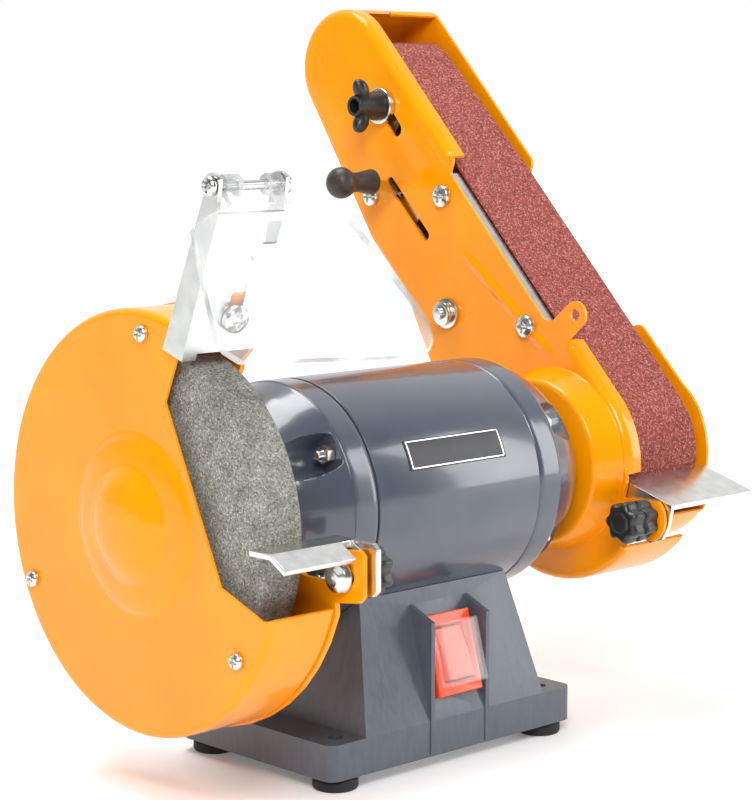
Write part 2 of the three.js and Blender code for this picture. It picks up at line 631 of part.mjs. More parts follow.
function makeLeftRest() {
  const t = 2.6;
  const top = 14.4;
  const side = [
    fromBolt(10.5, top), fromBolt(-2.3, top), fromBolt(-11.2, 8.9), fromBolt(-10, 6.9), fromBolt(-1.6, top - t),
    fromBolt(10.5, top - t),
  ];
  const shelf = sideSlab(polygon(side), -143.8, -98.4);
  const corner = [fromBolt(-20.8, 20.9), fromBolt(-20.8, 0.9), fromBolt(-2.4, 0.9), fromBolt(-2.4, 20.9)];
  const trim = sideSlab(polygon(corner.reverse()), -107, -101.9);
  const flange = withHoles(
    polygon([
      fromBolt(-13.8, top), fromBolt(-16.3, 11.9), fromBolt(-16.3, -4.6), fromBolt(-13.8, -7.1), fromBolt(8.2, -7.1),
      fromBolt(10.5, -4.6), fromBolt(10.5, top),
    ]),
    [circlePoints(LEFT_BOLT[0], LEFT_BOLT[1], 3.3, 12)],
  );
  const plate = sideSlab(flange, -101, -98.4);
  addPart('tool_rest_left', combine(shelf, [plate], [trim]), ZINC);
  const bolt = [
    [-110.6, 0], [-110.2, 3.4], [-108.4, 6], [-105, 7.2], [-105, 3], [-84, 3], [-84, 0],
  ];
  addPart('rest_bolt_left', turned(bolt.reverse(), 12, LEFT_BOLT[0], LEFT_BOLT[1]), ZINC);
  const knob = lobedKnob(-93, -83.4, LEFT_BOLT[0], LEFT_BOLT[1], 9.7, 7);
  const hub = bar(-98.1, -92, 6.6, 16, LEFT_BOLT[0], LEFT_BOLT[1]);
  const hole = bar(-99, -83.7, 3.3, 12, LEFT_BOLT[0], LEFT_BOLT[1]);
  addPart('rest_knob_left', combine(knob, [hub], [hole]), BLACK);
}

// ---- Sander arm ----
const TOP_U = 244;
const TOP_N = 17.5;
const TOP_R = 30;
const REST_BOLT = [-DRUM_R - 20.3, -22];
const KNOB_UN = [206.5, 28.2];
const LEVER_UN = [170, 5.6];
const LEVER_LEAN = 6.4;
const BOLT_LOW = [97.6, -7.6];
const BOLT_HIGH = [178.3, -9.9];
const PLATEN_SCREWS = [[143.7, 29.4], [58.7, 29.9]];

function toArm(y, z) {
  return [y * ARM_U.y + z * ARM_U.z, y * ARM_N.y + z * ARM_N.z];
}

function backOutline(radius, leave) {
  return [
    ...arc(0, 0, radius, 165, leave, 18),
    [128, 12.7 - DRUM_R], [163, 11.7 - DRUM_R], [248, -12.2],
    ...arc(TOP_U, TOP_N, TOP_R, -72, 90, 16),
  ];
}

function armOutline() {
  const [eu, en] = toArm(REST_BOLT[0], REST_BOLT[1]);
  return [
    ...backOutline(ARM_BOTTOM_R, 285.6),
    [152, 47.5], [148.5, 40.5], [54, 40.5], [50, 44],
    ...arc(42.8, 58, 6.6, 8, 172, 7), [36.6, 47],
    ...arc(0, 0, DRUM_R + 8.5, 85, 150, 11),
    ...arc(eu, en, 11.5, 84, 200, 8),
  ];
}

function coverOutline() {
  return [
    ...backOutline(COVER_BOTTOM_R, 280).filter((p) => p[1] < 39.6),
    [263.6, 39.5], [156, 39.5], [150, 28], [52, 28], [46.5, 39.5],
    ...arc(0, 0, DRUM_R + 2.3, 80, 154, 9),
  ];
}

function makeSidePlate() {
  const outline = armOutline();
  const x0 = ARM_X;
  const mid = ARM_X + PAN_DEPTH;
  const seam = ARM_X + ARM_DEPTH / 2 - 0.2;
  const shell = armSlab(polygon(outline), x0, mid);
  const hollow = armSlab(polygon(inset(outline, ARM_SHEET)), x0 + ARM_SHEET, mid + 2);
  const inside = x0 + ARM_SHEET;
  const [eu, en] = toArm(REST_BOLT[0], REST_BOLT[1]);
  const removed = [
    hollow,
    armSlab(polygon([[100, 40], [290, 40], [290, 70], [100, 70]]), x0 + 10, mid + 2),
    armSlab(polygon([[36, 36], [151, 36], [151, 70], [36, 70]]), inside, mid + 2),
    armSlab(polygon([[-70, 10], [60, 10], [60, 60], [-70, 60]]), x0 + 10, mid + 2),
    armSlab(polygon([[-80, 8], [-34, 8], [-34, 60], [-80, 60]]), inside, mid + 2),
    armSlab(polygon([[60, -60], [300, -60], [300, 70], [60, 70]]), seam, mid + 2),
    bar(x0 - 1, inside + 1, 44, 36),
    armSlab(polygon(slotPoints(KNOB_UN[0] + 1, KNOB_UN[1], 191, 27.4, 3.7, 6)), x0 - 1, inside + 1),
    armSlab(polygon(slotPoints(174, LEVER_UN[1] + 0.1, 137.5, LEVER_UN[1] + 0.8, 2.7, 5)), x0 - 1, inside + 1),
    armSlab(polygon(circlePoints(42.8, 58, 3, 12)), x0 - 1, inside + 1),
    armSlab(polygon(circlePoints(eu, en, 3.4, 12)), x0 - 1, inside + 1),
  ];
  for (const [u, n] of [BOLT_LOW, BOLT_HIGH, ...PLATEN_SCREWS]) {
    removed.push(armSlab(polygon(circlePoints(u, n, 3.3, 12)), x0 - 1, inside + 1));
  }
  const boss = [
    [101.5, 18], [103.1, 18], [103.1, 38.6], [inside, 44.3], [inside, 45.8], [x0, 45.8], [x0 - 1, 45],
    [101.5, 40],
  ];
  const ring = turned(boss, 36);
  const plate = combine(shell, [], removed);
  addPart('sander_side_plate', combine(plate, [ring], []), ORANGE);
}

function makeSanderCover() {
  const outline = coverOutline();
  const x1 = ARM_X + ARM_DEPTH;
  const mid = ARM_X + ARM_DEPTH / 2 + 0.2;
  const shell = armSlab(polygon(outline), mid, x1);
  const hollow = armSlab(polygon(inset(outline, ARM_SHEET)), mid - 2, x1 - ARM_SHEET);
  const removed = [
    hollow,
    armSlab(polygon([[-36, 15], [262, 15], [262, 60], [-36, 60]]), mid - 2, x1 - ARM_SHEET),
    armSlab(polygon([[-70, 8], [-34, 8], [-34, 60], [-70, 60]]), mid - 2, x1 - ARM_SHEET),
  ];
  addPart('sander_cover', combine(shell, [], removed), ORANGE);
}

function beltLoop(offset) {
  const drum = DRUM_R + GAP + offset;
  const idler = IDLER_R + GAP + offset;
  const span = Math.hypot(IDLER_N, IDLER_U);
  const lead = THREE.MathUtils.radToDeg(Math.atan2(IDLER_N, IDLER_U));
  const spread = THREE.MathUtils.radToDeg(Math.acos((drum - idler) / span));
  const du = IDLER_U - PLATEN_U1;
  const dn = IDLER_N - drum;
  const slant = Math.atan2(dn, du) + Math.asin(idler / Math.hypot(du, dn));
  const leave = THREE.MathUtils.radToDeg(slant) + 90;
  return [
    [PLATEN_U0, drum],
    ...arc(0, 0, drum, 90, lead + 360 - spread, 20),
    ...arc(IDLER_U, IDLER_N, idler, lead - spread, leave, 14),
    [PLATEN_U1, drum],
  ];
}

function makeBelt() {
  const outer = beltLoop(BELT_T);
  const inner = beltLoop(0);
  addPart('sanding_belt', armSlab(withHoles(polygon(outer), [inner]), BELT_X, BELT_X + BELT_W), BELT);
  const x0 = BELT_X + 0.5;
  const x1 = BELT_X + BELT_W - 1.5;
  const bore = SPINDLE_R + GAP;
  const drum = [
    [x0 + 4, bore], [x1 - 4, bore], [x1 - 4, 14], [x0 + 26, 14], [x0 + 26, 33], [x1, 33], [x1, DRUM_R - 0.4],
    [(x0 + x1) / 2, DRUM_R], [x0, DRUM_R - 0.4], [x0, 33], [x0 + 20, 33], [x0 + 20, 14], [x0 + 4, 14],
  ];
  addPart('drive_drum', turned(drum, 28), STEEL);
  const [y, z] = armPoint(IDLER_U, IDLER_N);
  const idler = [
    [x0, 6.3], [x1, 6.3], [x1, IDLER_R - 0.3], [(x0 + x1) / 2, IDLER_R], [x0, IDLER_R - 0.3],
  ];
  addPart('idler_roller', turned(idler, 24, y, z), BLACK);
  const axle = [
    [124, 0], [BELT_END + 1.5, 0], [BELT_END + 1.5, 9], [BELT_END - 0.5, 9], [BELT_END - 0.5, 6], [124, 6],
  ];
  addPart('idler_axle', turned(axle.reverse(), 16, y, z), STEEL);
}

function makeTensioner() {
  const outline = [
    [84, -16], [200, -16.5], [215, -14.5], [240, -7], [255, 4], [255, 20], [246, 27], [216, 36], [199, 36],
    [192, 12], [150, 12], [148, 1], [84, 1],
  ];
  const holes = [
    slotPoints(BOLT_LOW[0] - 1, BOLT_LOW[1], BOLT_LOW[0] + 15, BOLT_LOW[1], 3.4, 5),
    slotPoints(BOLT_HIGH[0] - 1, BOLT_HIGH[1], BOLT_HIGH[0] + 15, BOLT_HIGH[1], 3.4, 5),
    [[165.5, 4.1], [174.5, 4.1], [174.5, 7.1], [165.5, 7.1]],
    circlePoints(KNOB_UN[0], KNOB_UN[1], 3.2, 12),
  ];
  addPart('idler_yoke', armSlab(withHoles(polygon(outline), holes), 120.4, 123.4), ZINC);
  const [lu, ln] = LEVER_UN;
  const strip = [
    [126.4, ln - 1.2], [126.4, ln + 1.2], [116, ln + 1.2], [91.5, ln + LEVER_LEAN], [91.5, ln + LEVER_LEAN - 2.4],
    [116, ln - 1.2],
  ];
  const start = axisPoint(0).addScaledVector(ARM_U, lu + 4);
  addPart('tension_lever', place(extrude(polygon(strip), 8), AXIS_X, ARM_N, ARM_U.clone().negate(), start), ZINC);
  const [y, z] = armPoint(lu, ln + LEVER_LEAN - 0.6);
  const grip = [
    [68.8, 0], [69.6, 3.6], [72.2, 6.9], [76, 8.1], [79.6, 7.2], [82.6, 5.1], [87, 5], [92, 5.8], [97.5, 6.6],
    [98, 0],
  ];
  const body = turned(grip.reverse(), 14, y, z);
  const s0 = ln + LEVER_LEAN - 4.4;
  const s1 = ln + LEVER_LEAN + 0.4;
  const socket = armSlab(polygon([[lu - 4.3, s0], [lu + 4.3, s0], [lu + 4.3, s1], [lu - 4.3, s1]]), 91, 99);
  addPart('lever_grip', combine(body, [], [socket]), BLACK);
  const [ky, kz] = armPoint(KNOB_UN[0], KNOB_UN[1]);
  const knob = [
    [96.4, 0], [96.4, 5.6], [100, 5.6], [106, 6.6], [110, 7.4], [113, 7.6], [113, 8.6], [115.4, 8.6],
    [115.4, 9.4], [116.6, 9.4], [116.6, 2.9], [126, 2.9], [126, 0],
  ];
  const hub = turned(knob.reverse(), 14, ky, kz);
  const wings = [];
  for (const degrees of [98, 262]) {
    const angle = THREE.MathUtils.degToRad(degrees);
    const c = Math.cos(angle);
    const s = Math.sin(angle);
    const at = (r, w) => [ky + r * c - w * s, kz + r * s + w * c];
    wings.push(sideSlab(polygon([at(3, -3.2), at(12.2, -3.2), at(14, 0), at(12.2, 3.2), at(3, 3.2)]), 97, 106));
  }
  addPart('tracking_knob', combine(hub, wings, []), BLACK);
}

function makeArmScrews() {
  const low = armPoint(BOLT_LOW[0], BOLT_LOW[1]);
  const high = armPoint(BOLT_HIGH[0], BOLT_HIGH[1]);
  const nut = [[108.5, 0], [108.5, 3], [111, 3], [111, 5.2], [114.8, 5.2], [114.8, 7.6], [116.7, 7.6], [116.7, 3],
    [124, 3], [124, 6.4], [126.8, 6.4], [126.8, 0]];
  addPart('yoke_bolt_low', turned(nut.reverse(), 10, low[0], low[1]), ZINC);
  const pan = [
    [113.4, 0], [113.8, 3.4], [115.2, 5], [116.7, 5.4], [116.7, 3], [124, 3], [124, 5], [126.8, 5], [126.8, 0],
  ];
  addPart('yoke_bolt_high', turned(pan.reverse(), 10, high[0], high[1]), ZINC);
  PLATEN_SCREWS.forEach(([u, n], index) => {
    const [y, z] = armPoint(u, n);
    const screw = [
      [112.8, 0], [113.3, 3.6], [115, 5.6], [116.7, 6], [116.7, 3], [122.3, 3], [122.3, 5], [125, 5], [125, 0],
    ];
    addPart(`platen_screw_${index + 1}`, turned(screw.reverse(), 10, y, z), ZINC);
  });
}

function makePlaten() {
  const face = DRUM_R - 0.3;
  const back = face - 2.2;
  const profile = [
    [ARM_X + 2, 22], [ARM_X + 2, face], [BELT_END + 2, face], [BELT_END + 2, 30], [BELT_END + 0.7, 30],
    [BELT_END + 0.7, back], [ARM_X + 4.4, back], [ARM_X + 4.4, 22],
  ];
  const along = extrude(polygon(profile), PLATEN_U1 - PLATEN_U0);
  const start = axisPoint(0).addScaledVector(ARM_U, PLATEN_U1);
  const channel = place(along, AXIS_X, ARM_N, ARM_U.clone().negate(), start);
  const holes = PLATEN_SCREWS.map(([u, n]) => armSlab(polygon(circlePoints(u, n, 3.3, 12)), 118, 123));
  addPart('platen', combine(channel, [], holes), ZINC);
}

// ---- Belt rest ----
function fromRest(y, z) {
  return [REST_BOLT[0] + y, REST_BOLT[1] + z];
}

function makeBeltRest() {
  const t = 2.4;
  const a = fromRest(16.5, 16.5);
  const b = fromRest(-13.8, 7.4);
  const dy = b[0] - a[0];
  const dz = b[1] - a[1];
  const length = Math.hypot(dy, dz);
  const under = (p) => [p[0] - (dz / length) * t, p[1] + (dy / length) * t];
  const shelf = sideSlab(polygon([a, b, under(b), under(a)]), 119.2, BELT_END + 2.9);
  const flange = withHoles(
    polygon([
      a, b, fromRest(-11.6, -3), fromRest(-8, -9.5), fromRest(-1, -12), fromRest(9, -8), fromRest(13, 0),
    ]),
    [slotPoints(...fromRest(-1, -0.2), ...fromRest(9, 2.8), 3.3, 5)],
  );
  const side = sideSlab(flange, 119.2, 121.6);
  addPart('belt_rest', combine(shelf, [side], []), ZINC);
  const bolt = [[105, 0], [105, 3], [121.9, 3], [121.9, 6.4], [124, 5.6], [125.4, 3], [125.8, 0]];
  addPart('belt_rest_bolt', turned(bolt, 12, REST_BOLT[0], REST_BOLT[1]), ZINC);
  const knob = lobedKnob(97.5, 107.5, REST_BOLT[0], REST_BOLT[1], 9.2, 7);
  const hub = bar(106.5, 116.6, 8.6, 14, REST_BOLT[0], REST_BOLT[1]);
  const hole = bar(104.7, 117, 3.3, 12, REST_BOLT[0], REST_BOLT[1]);
  addPart('belt_rest_knob', combine(knob, [hub], [hole]), BLACK);
}

makeBase();
makeFeet();
makeElectrics();
makeMotor();
makeTieBolts();
makeNameplate();
makeSpindle();
makeWheel();
makeGuardCover();
makeGuardBack();
makeGuardScrews();
makeBracket();
makeShield();
makeLeftRest();
makeSidePlate();
makeSanderCover();
makeBelt();
makeTensioner();
makeArmScrews();
makePlaten();
makeBeltRest();

// The origin goes to the middle of the footprint, on the floor.
const bounds = new THREE.Box3().setFromObject(root);
const middle = bounds.getCenter(new THREE.Vector3());
root.position.set(-middle.x, -middle.y, -bounds.min.z);

export default root;
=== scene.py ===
"""Looks of a combined bench grinder: guarded wheel on the left, belt sander arm on the right.

Sizes are in millimetres about the middle of the motor: x along the spindle, y to the back, z up.
The function `place` turns them into metres in the frame.
"""

import json
import math

import bmesh
import bpy
import numpy as np
from mathutils import Matrix, Vector
from mathutils.geometry import tessellate_polygon

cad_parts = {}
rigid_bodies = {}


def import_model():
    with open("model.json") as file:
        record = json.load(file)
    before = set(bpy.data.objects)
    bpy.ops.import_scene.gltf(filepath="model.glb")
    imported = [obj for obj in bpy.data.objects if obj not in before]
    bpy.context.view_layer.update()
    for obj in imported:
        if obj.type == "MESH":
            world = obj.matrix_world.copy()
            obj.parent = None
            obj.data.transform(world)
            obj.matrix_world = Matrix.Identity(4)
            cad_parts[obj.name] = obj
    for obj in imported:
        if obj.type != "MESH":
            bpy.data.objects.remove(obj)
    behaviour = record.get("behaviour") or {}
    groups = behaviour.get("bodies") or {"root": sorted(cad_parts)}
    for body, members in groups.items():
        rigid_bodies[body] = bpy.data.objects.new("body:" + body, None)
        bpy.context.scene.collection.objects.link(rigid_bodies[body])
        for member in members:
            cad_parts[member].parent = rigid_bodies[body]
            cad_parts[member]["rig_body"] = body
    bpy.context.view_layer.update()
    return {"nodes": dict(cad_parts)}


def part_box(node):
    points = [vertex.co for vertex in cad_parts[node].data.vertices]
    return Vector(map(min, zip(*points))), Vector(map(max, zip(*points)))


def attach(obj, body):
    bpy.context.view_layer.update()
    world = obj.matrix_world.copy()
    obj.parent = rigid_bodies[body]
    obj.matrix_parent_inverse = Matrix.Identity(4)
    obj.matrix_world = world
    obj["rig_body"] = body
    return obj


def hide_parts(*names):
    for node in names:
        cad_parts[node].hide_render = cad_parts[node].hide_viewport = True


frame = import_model()


# ---------------------------------------------------------------- places and sizes

MM = 0.001
SHELL_LOW, SHELL_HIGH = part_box("motor_shell")
MOTOR_MIDDLE = np.array((SHELL_LOW + SHELL_HIGH) / 2)
FLOOR = -MOTOR_MIDDLE[2] / MM

MOTOR_R = 53.4
MOTOR_HALF = 49.7
BELL_START = 50.0
BELL_END = 99.5
TIE_R = 46.6
TIE_ANGLES = (34, 146, 214, 326)
POCKET_R = 9.0
POCKET_FLOOR = 65.0

WHEEL_R = 75.0
WHEEL_X = (-132.4, -112.4)

GUARD_R = 89.4
GUARD_BEND = 3.0
GUARD_FACE = -138.6
GUARD_RIM = -105.0
SHEET = 1.6
OPENING_TOP = ((-20.5, 52.7), (-28.0, 70.0), (-33.0, 82.0), (-36.0, 89.0))
OPENING_LOW = ((-54.5, -18.1), (-80.0, -27.5), (-96.0, -25.5))
GUARD_SCREW_R = 80.0
GUARD_SCREWS = (95, 215, 335)

ARM_TILT = math.radians(43.2)
ARM_U = np.array((0.0, math.sin(ARM_TILT), math.cos(ARM_TILT)))
ARM_N = np.array((0.0, -math.cos(ARM_TILT), math.sin(ARM_TILT)))
AXIS_X = np.array((1.0, 0.0, 0.0))
AXIS_Y = np.array((0.0, 1.0, 0.0))
AXIS_Z = np.array((0.0, 0.0, 1.0))
ARM_X = 117.0
ARM_DEPTH = 69.0
PLATE_DEPTH = 34.3
PAN_DEPTH = 43.5
COVER_DEPTH = 34.3
LIP = 10.0
TOP_ARC = (244.0, 17.5, 30.0)

BELT_X = (127.5, 177.5)
BELT_T = 1.2
DRUM_REACH = 39.0
IDLER_REACH = 22.3
IDLER_AT = (233.5, 13.5)
PLATEN_TOP = 151.0

BRACKET_TILT = math.radians(21.8)
BRACKET_UP = np.array((0.0, -math.sin(BRACKET_TILT), math.cos(BRACKET_TILT)))
BRACKET_OUT = np.array((0.0, -math.cos(BRACKET_TILT), -math.sin(BRACKET_TILT)))
BRACKET_FOOT = np.array((0.0, -35.0, 70.7))
HINGE = (-54.8, 140.8)
SHIELD_LEAN = math.radians(38)

LEFT_KNOB = (-89.2, -12.9)
BELT_KNOB = (-59.0, -22.0)
TRACKING_KNOB = (206.5, 28.2)
LEVER = (170.0, 11.4)
LUG = (42.8, 58.0)
PLATEN_SCREWS = ((143.7, 29.4), (58.7, 29.9))
YOKE_BOLT_LOW = (97.6, -7.6)
YOKE_BOLT_HIGH = (178.3, -9.9)
BOLT_HOLE_R = 3.3


def arm_point(u, n):
    """The (y, z) of a point u up the arm and n out of its belt face."""
    point = u * ARM_U + n * ARM_N
    return point[1], point[2]


def on_arm(x, flat):
    """Points x along the spindle and (u, n) in the plane of the arm, as x, y, z."""
    return np.asarray(x, float)[..., None] * AXIS_X + flat[..., :1] * ARM_U + flat[..., 1:2] * ARM_N


def round_spindle(radius, degrees):
    """The (y, z) at a radius and an angle about the spindle."""
    return radius * math.cos(math.radians(degrees)), radius * math.sin(math.radians(degrees))


def place(points):
    """Millimetres about the motor's middle, turned into metres in the frame."""
    return np.asarray(points, float) * MM + MOTOR_MIDDLE


# ---------------------------------------------------------------- meshes


def link(name, mesh):
    """Puts a mesh into the scene as an object of its name."""
    obj = bpy.data.objects.new(name, mesh)
    bpy.context.scene.collection.objects.link(obj)
    return obj


def tidy_mesh(mesh, sharp):
    """Merges doubles, turns the faces outwards and keeps edges sharper than `sharp` degrees crisp."""
    work = bmesh.new()
    work.from_mesh(mesh)
    bmesh.ops.remove_doubles(work, verts=work.verts, dist=2e-6)
    bmesh.ops.dissolve_degenerate(work, edges=work.edges, dist=1e-6)
    bmesh.ops.recalc_face_normals(work, faces=work.faces)
    work.to_mesh(mesh)
    work.free()
    mesh.shade_smooth()
    mesh.set_sharp_from_angle(angle=math.radians(sharp))


def ease(edge0, edge1, value):
    """0 before edge0, 1 after edge1, and a cubic S between them."""
    t = np.clip((value - edge0) / (edge1 - edge0), 0, 1)
    return t * t * (3 - 2 * t)


def soften(points, radius, steps=4, closed=False):
    """Rounds each corner of a line: a quadratic curve from `radius` before it to `radius` after it."""
    pts = [np.asarray(p, float) for p in points]
    count = len(pts)
    out = []
    for i, here in enumerate(pts):
        if not closed and i in (0, count - 1):
            out.append(here)
            continue
        before = pts[i - 1] - here
        after = pts[(i + 1) % count] - here
        reach_a = min(radius, 0.45 * np.linalg.norm(before))
        reach_b = min(radius, 0.45 * np.linalg.norm(after))
        a = here + before / max(np.linalg.norm(before), 1e-9) * reach_a
        b = here + after / max(np.linalg.norm(after), 1e-9) * reach_b
        for t in np.linspace(0, 1, steps + 1):
            out.append((1 - t) ** 2 * a + 2 * t * (1 - t) * here + t * t * b)
    return np.array(out)


def refine_line(points, step):
    """The same line with a point at least every `step`."""
    pts = np.asarray(points, float)
    out = [pts[:1]]
    for a, b in zip(pts[:-1], pts[1:]):
        n = max(1, int(math.ceil(np.linalg.norm(b - a) / step)))
        t = np.arange(1, n + 1)[:, None] / n
        out.append(a + (b - a) * t)
    return np.concatenate(out)


def arc(a, b, radius, start, end, count):
    """Points on a circle about (a, b), from start to end degrees."""
    t = np.radians(np.linspace(start, end, count + 1))
    return np.stack([a + radius * np.cos(t), b + radius * np.sin(t)], 1)


def grid_mesh(name, points, wrap_rows=False, wrap_columns=False, keep=None, sharp=35):
    """A sheet of quads through a grid of points (rows, columns, 3). `keep` masks the quads."""
    rows, columns = points.shape[:2]
    index = np.arange(rows * columns).reshape(rows, columns)
    if wrap_rows:
        index = np.concatenate([index, index[:1]], 0)
    if wrap_columns:
        index = np.concatenate([index, index[:, :1]], 1)
    quads = np.stack([index[:-1, :-1], index[1:, :-1], index[1:, 1:], index[:-1, 1:]], -1)
    if keep is not None:
        quads = quads[keep]
    mesh = bpy.data.meshes.new(name)
    mesh.from_pydata(place(points.reshape(-1, 3)).tolist(), [], quads.reshape(-1, 4).tolist())
    tidy_mesh(mesh, sharp)
    return link(name, mesh)


def cross_axes(axis):
    """Two unit vectors square to `axis`: for the X axis, Y and Z."""
    axis = np.asarray(axis, float)
    first = AXIS_Y if abs(axis[0]) > 0.5 else AXIS_X
    first = first - axis * first.dot(axis)
    first = first / np.linalg.norm(first)
    return first, np.cross(axis, first)


def turned(name, profile, segments=64, at=(0.0, 0.0), base=None, axis=AXIS_X, step=None,
           lobes=None, flats=None, recess=None, sharp=35):
    """A profile of (distance along the axis, radius) carried round the axis.

    lobes (count, depth): the radius swells by depth * cos(count * angle), fading towards the middle.
    flats (sides, half the width across flats): the radius is cut to a polygon with chamfered corners.
    recess (depth, half width, reach): a cross-shaped socket sunk along the axis within `reach` of the middle.
    """
    line = np.asarray(profile, float)
    if step:
        line = refine_line(line, step)
    along, radius = line[:, 0][:, None], line[:, 1][:, None]
    angle = np.linspace(0, 2 * math.pi, segments, endpoint=False)[None, :]
    reach = np.repeat(radius, segments, 1)
    depth_along = np.repeat(along, segments, 1)
    if lobes:
        count, depth = lobes
        reach = reach * (1 + depth * np.cos(count * angle) * (radius / radius.max()) ** 2)
    if flats:
        sides, apothem = flats
        half = math.pi / sides
        limit = apothem / np.cos((angle + half) % (2 * half) - half)
        reach = np.minimum(reach, np.where(radius > apothem * 0.75, limit, 1e6))
    if recess:
        depth, half_width, size = recess
        a = np.abs(reach * np.cos(angle))
        b = np.abs(reach * np.sin(angle))
        arm = 1 - ease(half_width * 0.6, half_width * 1.3, np.minimum(a, b))
        inside = arm * (1 - ease(size * 0.8, size, reach))
        front = ease(0.35, 0.2, np.abs(depth_along - along.min()) / np.ptp(along))
        depth_along = depth_along + depth * inside * front
    first, second = cross_axes(axis)
    origin = np.array((0.0, at[0], at[1])) if base is None else np.asarray(base, float)
    points = (
        origin
        + depth_along[..., None] * np.asarray(axis, float)
        + (reach * np.cos(angle))[..., None] * first
        + (reach * np.sin(angle))[..., None] * second
    )
    ring = np.allclose(line[0], line[-1])
    if ring:
        points = points[:-1]
    return grid_mesh(name, points, wrap_rows=ring, wrap_columns=True, sharp=sharp)


def pan(name, outline, face_x, way, depth, bend, holes=()):
    """A pressed sheet: a flat face with holes at face_x, bent back along its outline in (u, n) into a wall.

    The outline carries a profile: a quarter circle of radius `bend`, then a straight wall. `depth` gives the
    wall's length at each point of the outline, and the bend shrinks to nothing where there is no wall.
    `way` is the wall's direction along X.
    """
    path = refine_line(np.concatenate([outline, outline[:1]]), 0.8)[:-1]
    path = path[np.linalg.norm(path - np.roll(path, 1, 0), axis=1) > 1e-3]
    tangent = np.roll(path, -1, 0) - np.roll(path, 1, 0)
    tangent = tangent / np.linalg.norm(tangent, axis=1, keepdims=True)
    inward = np.stack([-tangent[:, 1], tangent[:, 0]], 1)
    wall = depth(path[:, 0], path[:, 1])
    window = np.ones(9) / 9
    wide = np.convolve(np.concatenate([wall[-4:] > 0, wall > 0, wall[:4] > 0]).astype(float), window, "valid")
    curl = np.minimum(bend * ease(0.45, 1.0, wide), wall)
    rings = []
    for turn in np.linspace(0, math.pi / 2, 8):
        flat = path + inward * (curl * (1 - math.sin(turn)))[:, None]
        rings.append((face_x + way * curl * (1 - math.cos(turn)), flat))
    for share in (0.34, 0.67, 1.0):
        rings.append((face_x + way * (curl + (wall - curl) * share), path))
    points = np.stack([on_arm(x, path_at) for x, path_at in rings])
    count = len(path)
    loops = [rings[0][1], *[np.asarray(h, float) for h in holes]]
    flat = np.concatenate(loops)
    triangles = tessellate_polygon([[Vector((p[0], p[1], 0)) for p in line] for line in loops])
    extra = on_arm(face_x, flat[count:])
    vertices = np.concatenate([points.reshape(-1, 3), extra])
    corners = np.array(triangles)
    faces = np.where(corners < count, corners, corners + points.shape[0] * count - count).tolist()
    index = np.arange(points.shape[0] * count).reshape(-1, count)
    after = np.roll(index, -1, 1)
    quads = np.stack([index[:-1], after[:-1], after[1:], index[1:]], -1).reshape(-1, 4)
    mesh = bpy.data.meshes.new(name)
    mesh.from_pydata(place(vertices).tolist(), [], faces + quads.tolist())
    tidy_mesh(mesh, 60)
    facing = sum(f.normal.x * f.area for f in mesh.polygons)
    if facing * way > 0:
        mesh.flip_normals()
    made = link(name, mesh)
    thicken(made, SHEET)
    return bevel(made, 0.3, 2, 50)


def refined(node, sharp=28):
    """A copy of a CAD node with its triangles merged back into flat faces, ready for rounded edges."""
    mesh = frame["nodes"][node].data.copy()
    mesh.materials.clear()
    work = bmesh.new()
    work.from_mesh(mesh)
    bmesh.ops.remove_doubles(work, verts=work.verts, dist=5e-6)
    bmesh.ops.dissolve_limit(work, angle_limit=math.radians(0.6), verts=work.verts, edges=work.edges)
    work.to_mesh(mesh)
    work.free()
    mesh.shade_smooth()
    mesh.set_sharp_from_angle(angle=math.radians(sharp))
    return link(node + "_piece", mesh)


def bevel(obj, width, segments=3, limit=32):
    """Rounds the edges sharper than `limit` degrees by `width` millimetres."""
    rounding = obj.modifiers.new("edge rounding", "BEVEL")
    rounding.width = width * MM
    rounding.segments = segments
    rounding.limit_method = "ANGLE"
    rounding.angle_limit = math.radians(limit)
    rounding.harden_normals = True
    rounding.miter_outer = "MITER_ARC"
    return obj


def thicken(obj, thickness):
    """Gives a sheet its wall, inwards from the surface that shows."""
    wall = obj.modifiers.new("sheet thickness", "SOLIDIFY")
    wall.thickness = thickness * MM
    wall.offset = -1
    wall.use_even_offset = True
    return obj


def fit(obj, node, finish, body=None):
    """Puts a piece in place of a CAD node, on its body, with its finish."""
    obj.data.materials.clear()
    obj.data.materials.append(finish)
    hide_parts(node)
    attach(obj, body or frame["nodes"][node]["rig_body"])
    return obj


def add(obj, node, finish):
    """Adds a detail piece that rides with a CAD node, with its finish."""
    obj.data.materials.clear()
    obj.data.materials.append(finish)
    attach(obj, frame["nodes"][node]["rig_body"])
    return obj


# ---------------------------------------------------------------- materials


def linear(code):
    """An sRGB hex colour as linear RGBA."""
    value = np.array([int(code[i : i + 2], 16) for i in (1, 3, 5)]) / 255
    value = np.where(value <= 0.04045, value / 12.92, ((value + 0.055) / 1.055) ** 2.4)
    return (*value.tolist(), 1.0)


def node(tree, kind, settings=None, inputs=None, links=None, stops=None):
    """Adds a node with its properties, sockets, links from (node, output) pairs and (position, hex) stops."""
    made = tree.nodes.new(kind)
    for key, value in (settings or {}).items():
        setattr(made, key, value)
    for key, value in (inputs or {}).items():
        made.inputs[key].default_value = value
    for key, (source, output) in (links or {}).items():
        tree.links.new(source.outputs[output], made.inputs[key])
    if stops:
        elements = made.color_ramp.elements
        for _ in stops[2:]:
            elements.new(0.5)
        for element, (position, code) in zip(elements, stops):
            element.position = position
            element.color = linear(code)
    return made


def material(name, constants):
    """A material with one Principled shader and its constants, and the Object coordinates."""
    made = bpy.data.materials.new(name)
    made.use_nodes = True
    tree = made.node_tree
    tree.nodes.clear()
    shader = node(tree, "ShaderNodeBsdfPrincipled", inputs=constants)
    node(tree, "ShaderNodeOutputMaterial", links={"Surface": (shader, "BSDF")})
    coords = node(tree, "ShaderNodeTexCoord")
    return made, tree, shader, coords


